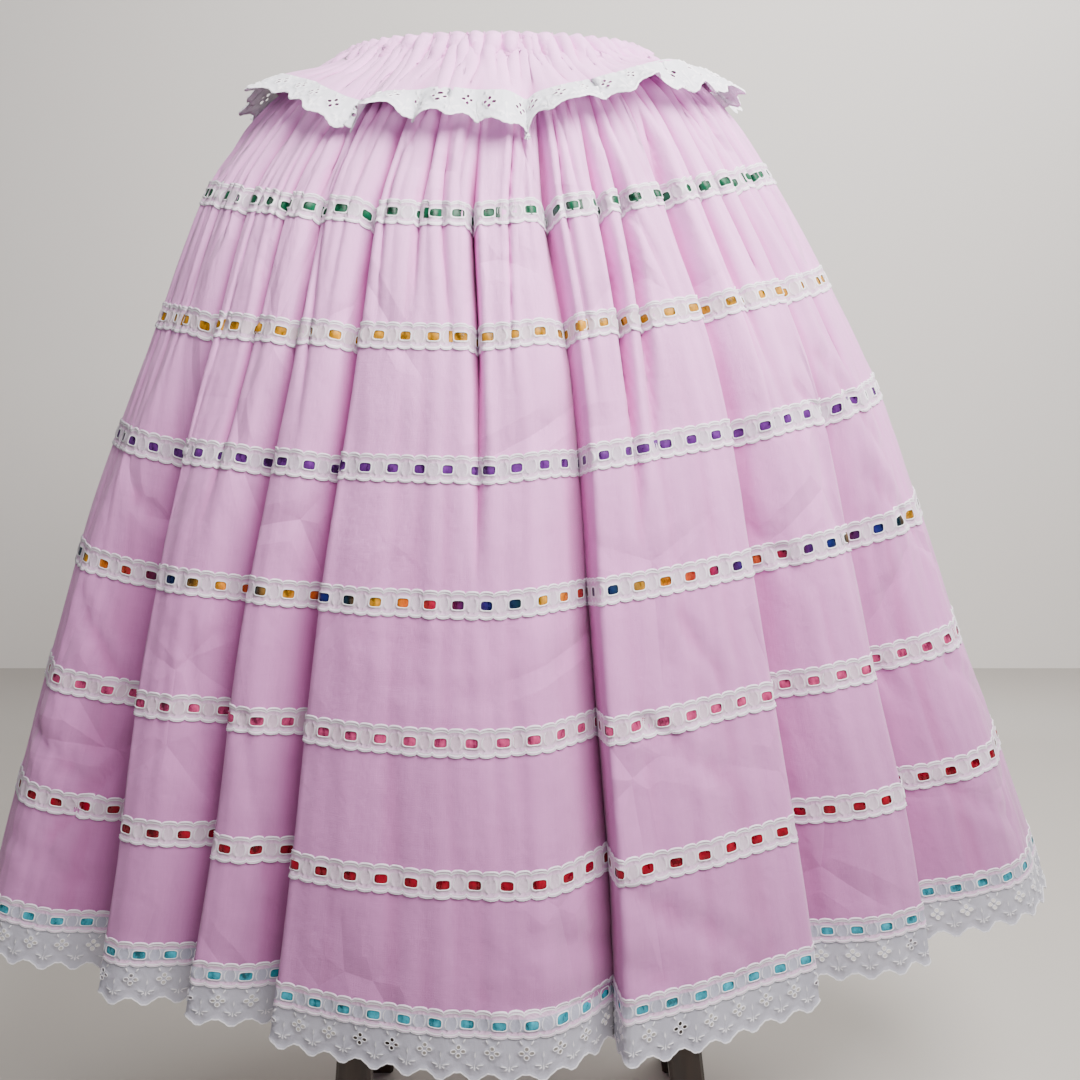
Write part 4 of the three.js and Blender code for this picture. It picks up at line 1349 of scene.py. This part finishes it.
class SKIRT_OT_stage(bpy.types.Operator):
    """Pale floor and backdrop, soft lights and the camera"""

    bl_idname = "skirt.stage"
    bl_label = "Stage"

    def execute(self, context):
        self.backdrop()
        for values in LIGHTS:
            self.light(*values)
        context.scene.world = self.room()
        camera = bpy.data.objects.new("camera", bpy.data.cameras.new("camera"))
        camera.data.sensor_width = 36.0
        camera.data.lens = CAMERA_LENS
        camera.location = CAMERA_PLACE
        camera.rotation_euler = (math.radians(90.0 - CAMERA_PITCH), 0.0, 0.0)
        context.scene.collection.objects.link(camera)
        context.scene.camera = camera
        return {"FINISHED"}

    def room(self):
        """Faint light from all around, and a pale room past the edge of the floor."""
        world = bpy.data.worlds.new("soft room")
        world.use_nodes = True
        nodes = Nodes(world.node_tree)
        light = nodes.feed(world.node_tree.nodes["Background"],
                           {0: (0.92, 0.94, 1.0, 1.0), 1: 0.125})
        pale = nodes.add("ShaderNodeBackground", {0: (0.92, 0.90, 0.88, 1.0), 1: 0.6})
        direct = nodes.add("ShaderNodeLightPath").outputs["Is Camera Ray"]
        seen = nodes.add("ShaderNodeMixShader",
                         {0: direct, 1: light.outputs[0], 2: pale.outputs[0]})
        nodes.feed(world.node_tree.nodes["World Output"], {0: seen.outputs[0]})
        return world

    def backdrop(self):
        """A floor that curves up into a wall behind the object."""
        half, front, wall, radius, height = 8.0, -8.0, 1.15, 0.12, 4.5
        line = [(front, 0.0), (wall - radius, 0.0)]
        for i in range(1, 9):
            angle = 0.5 * math.pi * i / 8.0
            line.append((wall - radius + radius * math.sin(angle),
                         radius - radius * math.cos(angle)))
        line.append((wall, height))
        points = [(x * 1000.0, y * 1000.0, z * 1000.0) for y, z in line for x in (-half, half)]
        faces, row, column = grid(len(line), 2, closed=False)
        uv = np.stack([column, row], axis=-1).reshape(-1, 2)
        floor = make_object("backdrop", points, faces[:, ::-1], uv)
        floor.data.materials.append(backdrop_material("pale floor", colours().floor, 0.6, 3.0))
        floor.data.materials.append(backdrop_material("pale wall", colours().wall, 0.9, 2.0))
        floor.data.polygons[-1].material_index = 1
        floor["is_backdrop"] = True

    def light(self, name, place, target, size, power, colour):
        data = bpy.data.lights.new(name, "AREA")
        data.size = size
        data.energy = power
        data.color = colour
        lamp = bpy.data.objects.new(name, data)
        lamp.location = place
        aim = Vector(target) - Vector(place)
        lamp.rotation_euler = aim.to_track_quat("-Z", "Y").to_euler()
        bpy.context.scene.collection.objects.link(lamp)


class SKIRT_PT_sidebar(bpy.types.Panel):
    """The skirt's steps, sizes and colours"""

    bl_label = "Gathered skirt"
    bl_idname = "SKIRT_PT_sidebar"
    bl_space_type = "VIEW_3D"
    bl_region_type = "UI"
    bl_category = "Skirt"

    def draw(self, context):
        layout = self.layout
        for operator in STEPS:
            layout.operator(operator.bl_idname)
        for group_name in ("skirt_sizes", "skirt_colours"):
            settings = getattr(context.scene, group_name)
            box = layout.box()
            for name in settings.bl_rna.properties.keys():
                if name not in ("rna_type", "name"):
                    box.prop(settings, name)


STEPS = (
    SKIRT_OT_panels, SKIRT_OT_waist, SKIRT_OT_peplum, SKIRT_OT_edgings, SKIRT_OT_trims,
    SKIRT_OT_stand, SKIRT_OT_stage,
)
CLASSES = (SkirtSizes, SkirtColours) + STEPS + (SKIRT_PT_sidebar,)


def register():
    for cls in CLASSES:
        bpy.utils.register_class(cls)
    bpy.types.Scene.skirt_sizes = bpy.props.PointerProperty(type=SkirtSizes)
    bpy.types.Scene.skirt_colours = bpy.props.PointerProperty(type=SkirtColours)


def unregister():
    del bpy.types.Scene.skirt_colours
    del bpy.types.Scene.skirt_sizes
    for cls in reversed(CLASSES):
        bpy.utils.unregister_class(cls)


def plain_lists(value):
    """Numbers and vectors as plain lists of floats."""
    return [plain_lists(v) for v in value] if hasattr(value, "__len__") else float(value)


def main():
    register()
    bpy.ops.skirt.panels()
    bpy.ops.skirt.waist()
    bpy.ops.skirt.peplum()
    bpy.ops.skirt.edgings()
    bpy.ops.skirt.trims()
    bpy.ops.skirt.stand()
    bpy.ops.skirt.stage()
    bpy.context.view_layer.update()
    {"cad": plain_lists(CAD_BOX), "visual": plain_lists(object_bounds())}


if __name__ == "__main__":
    main()
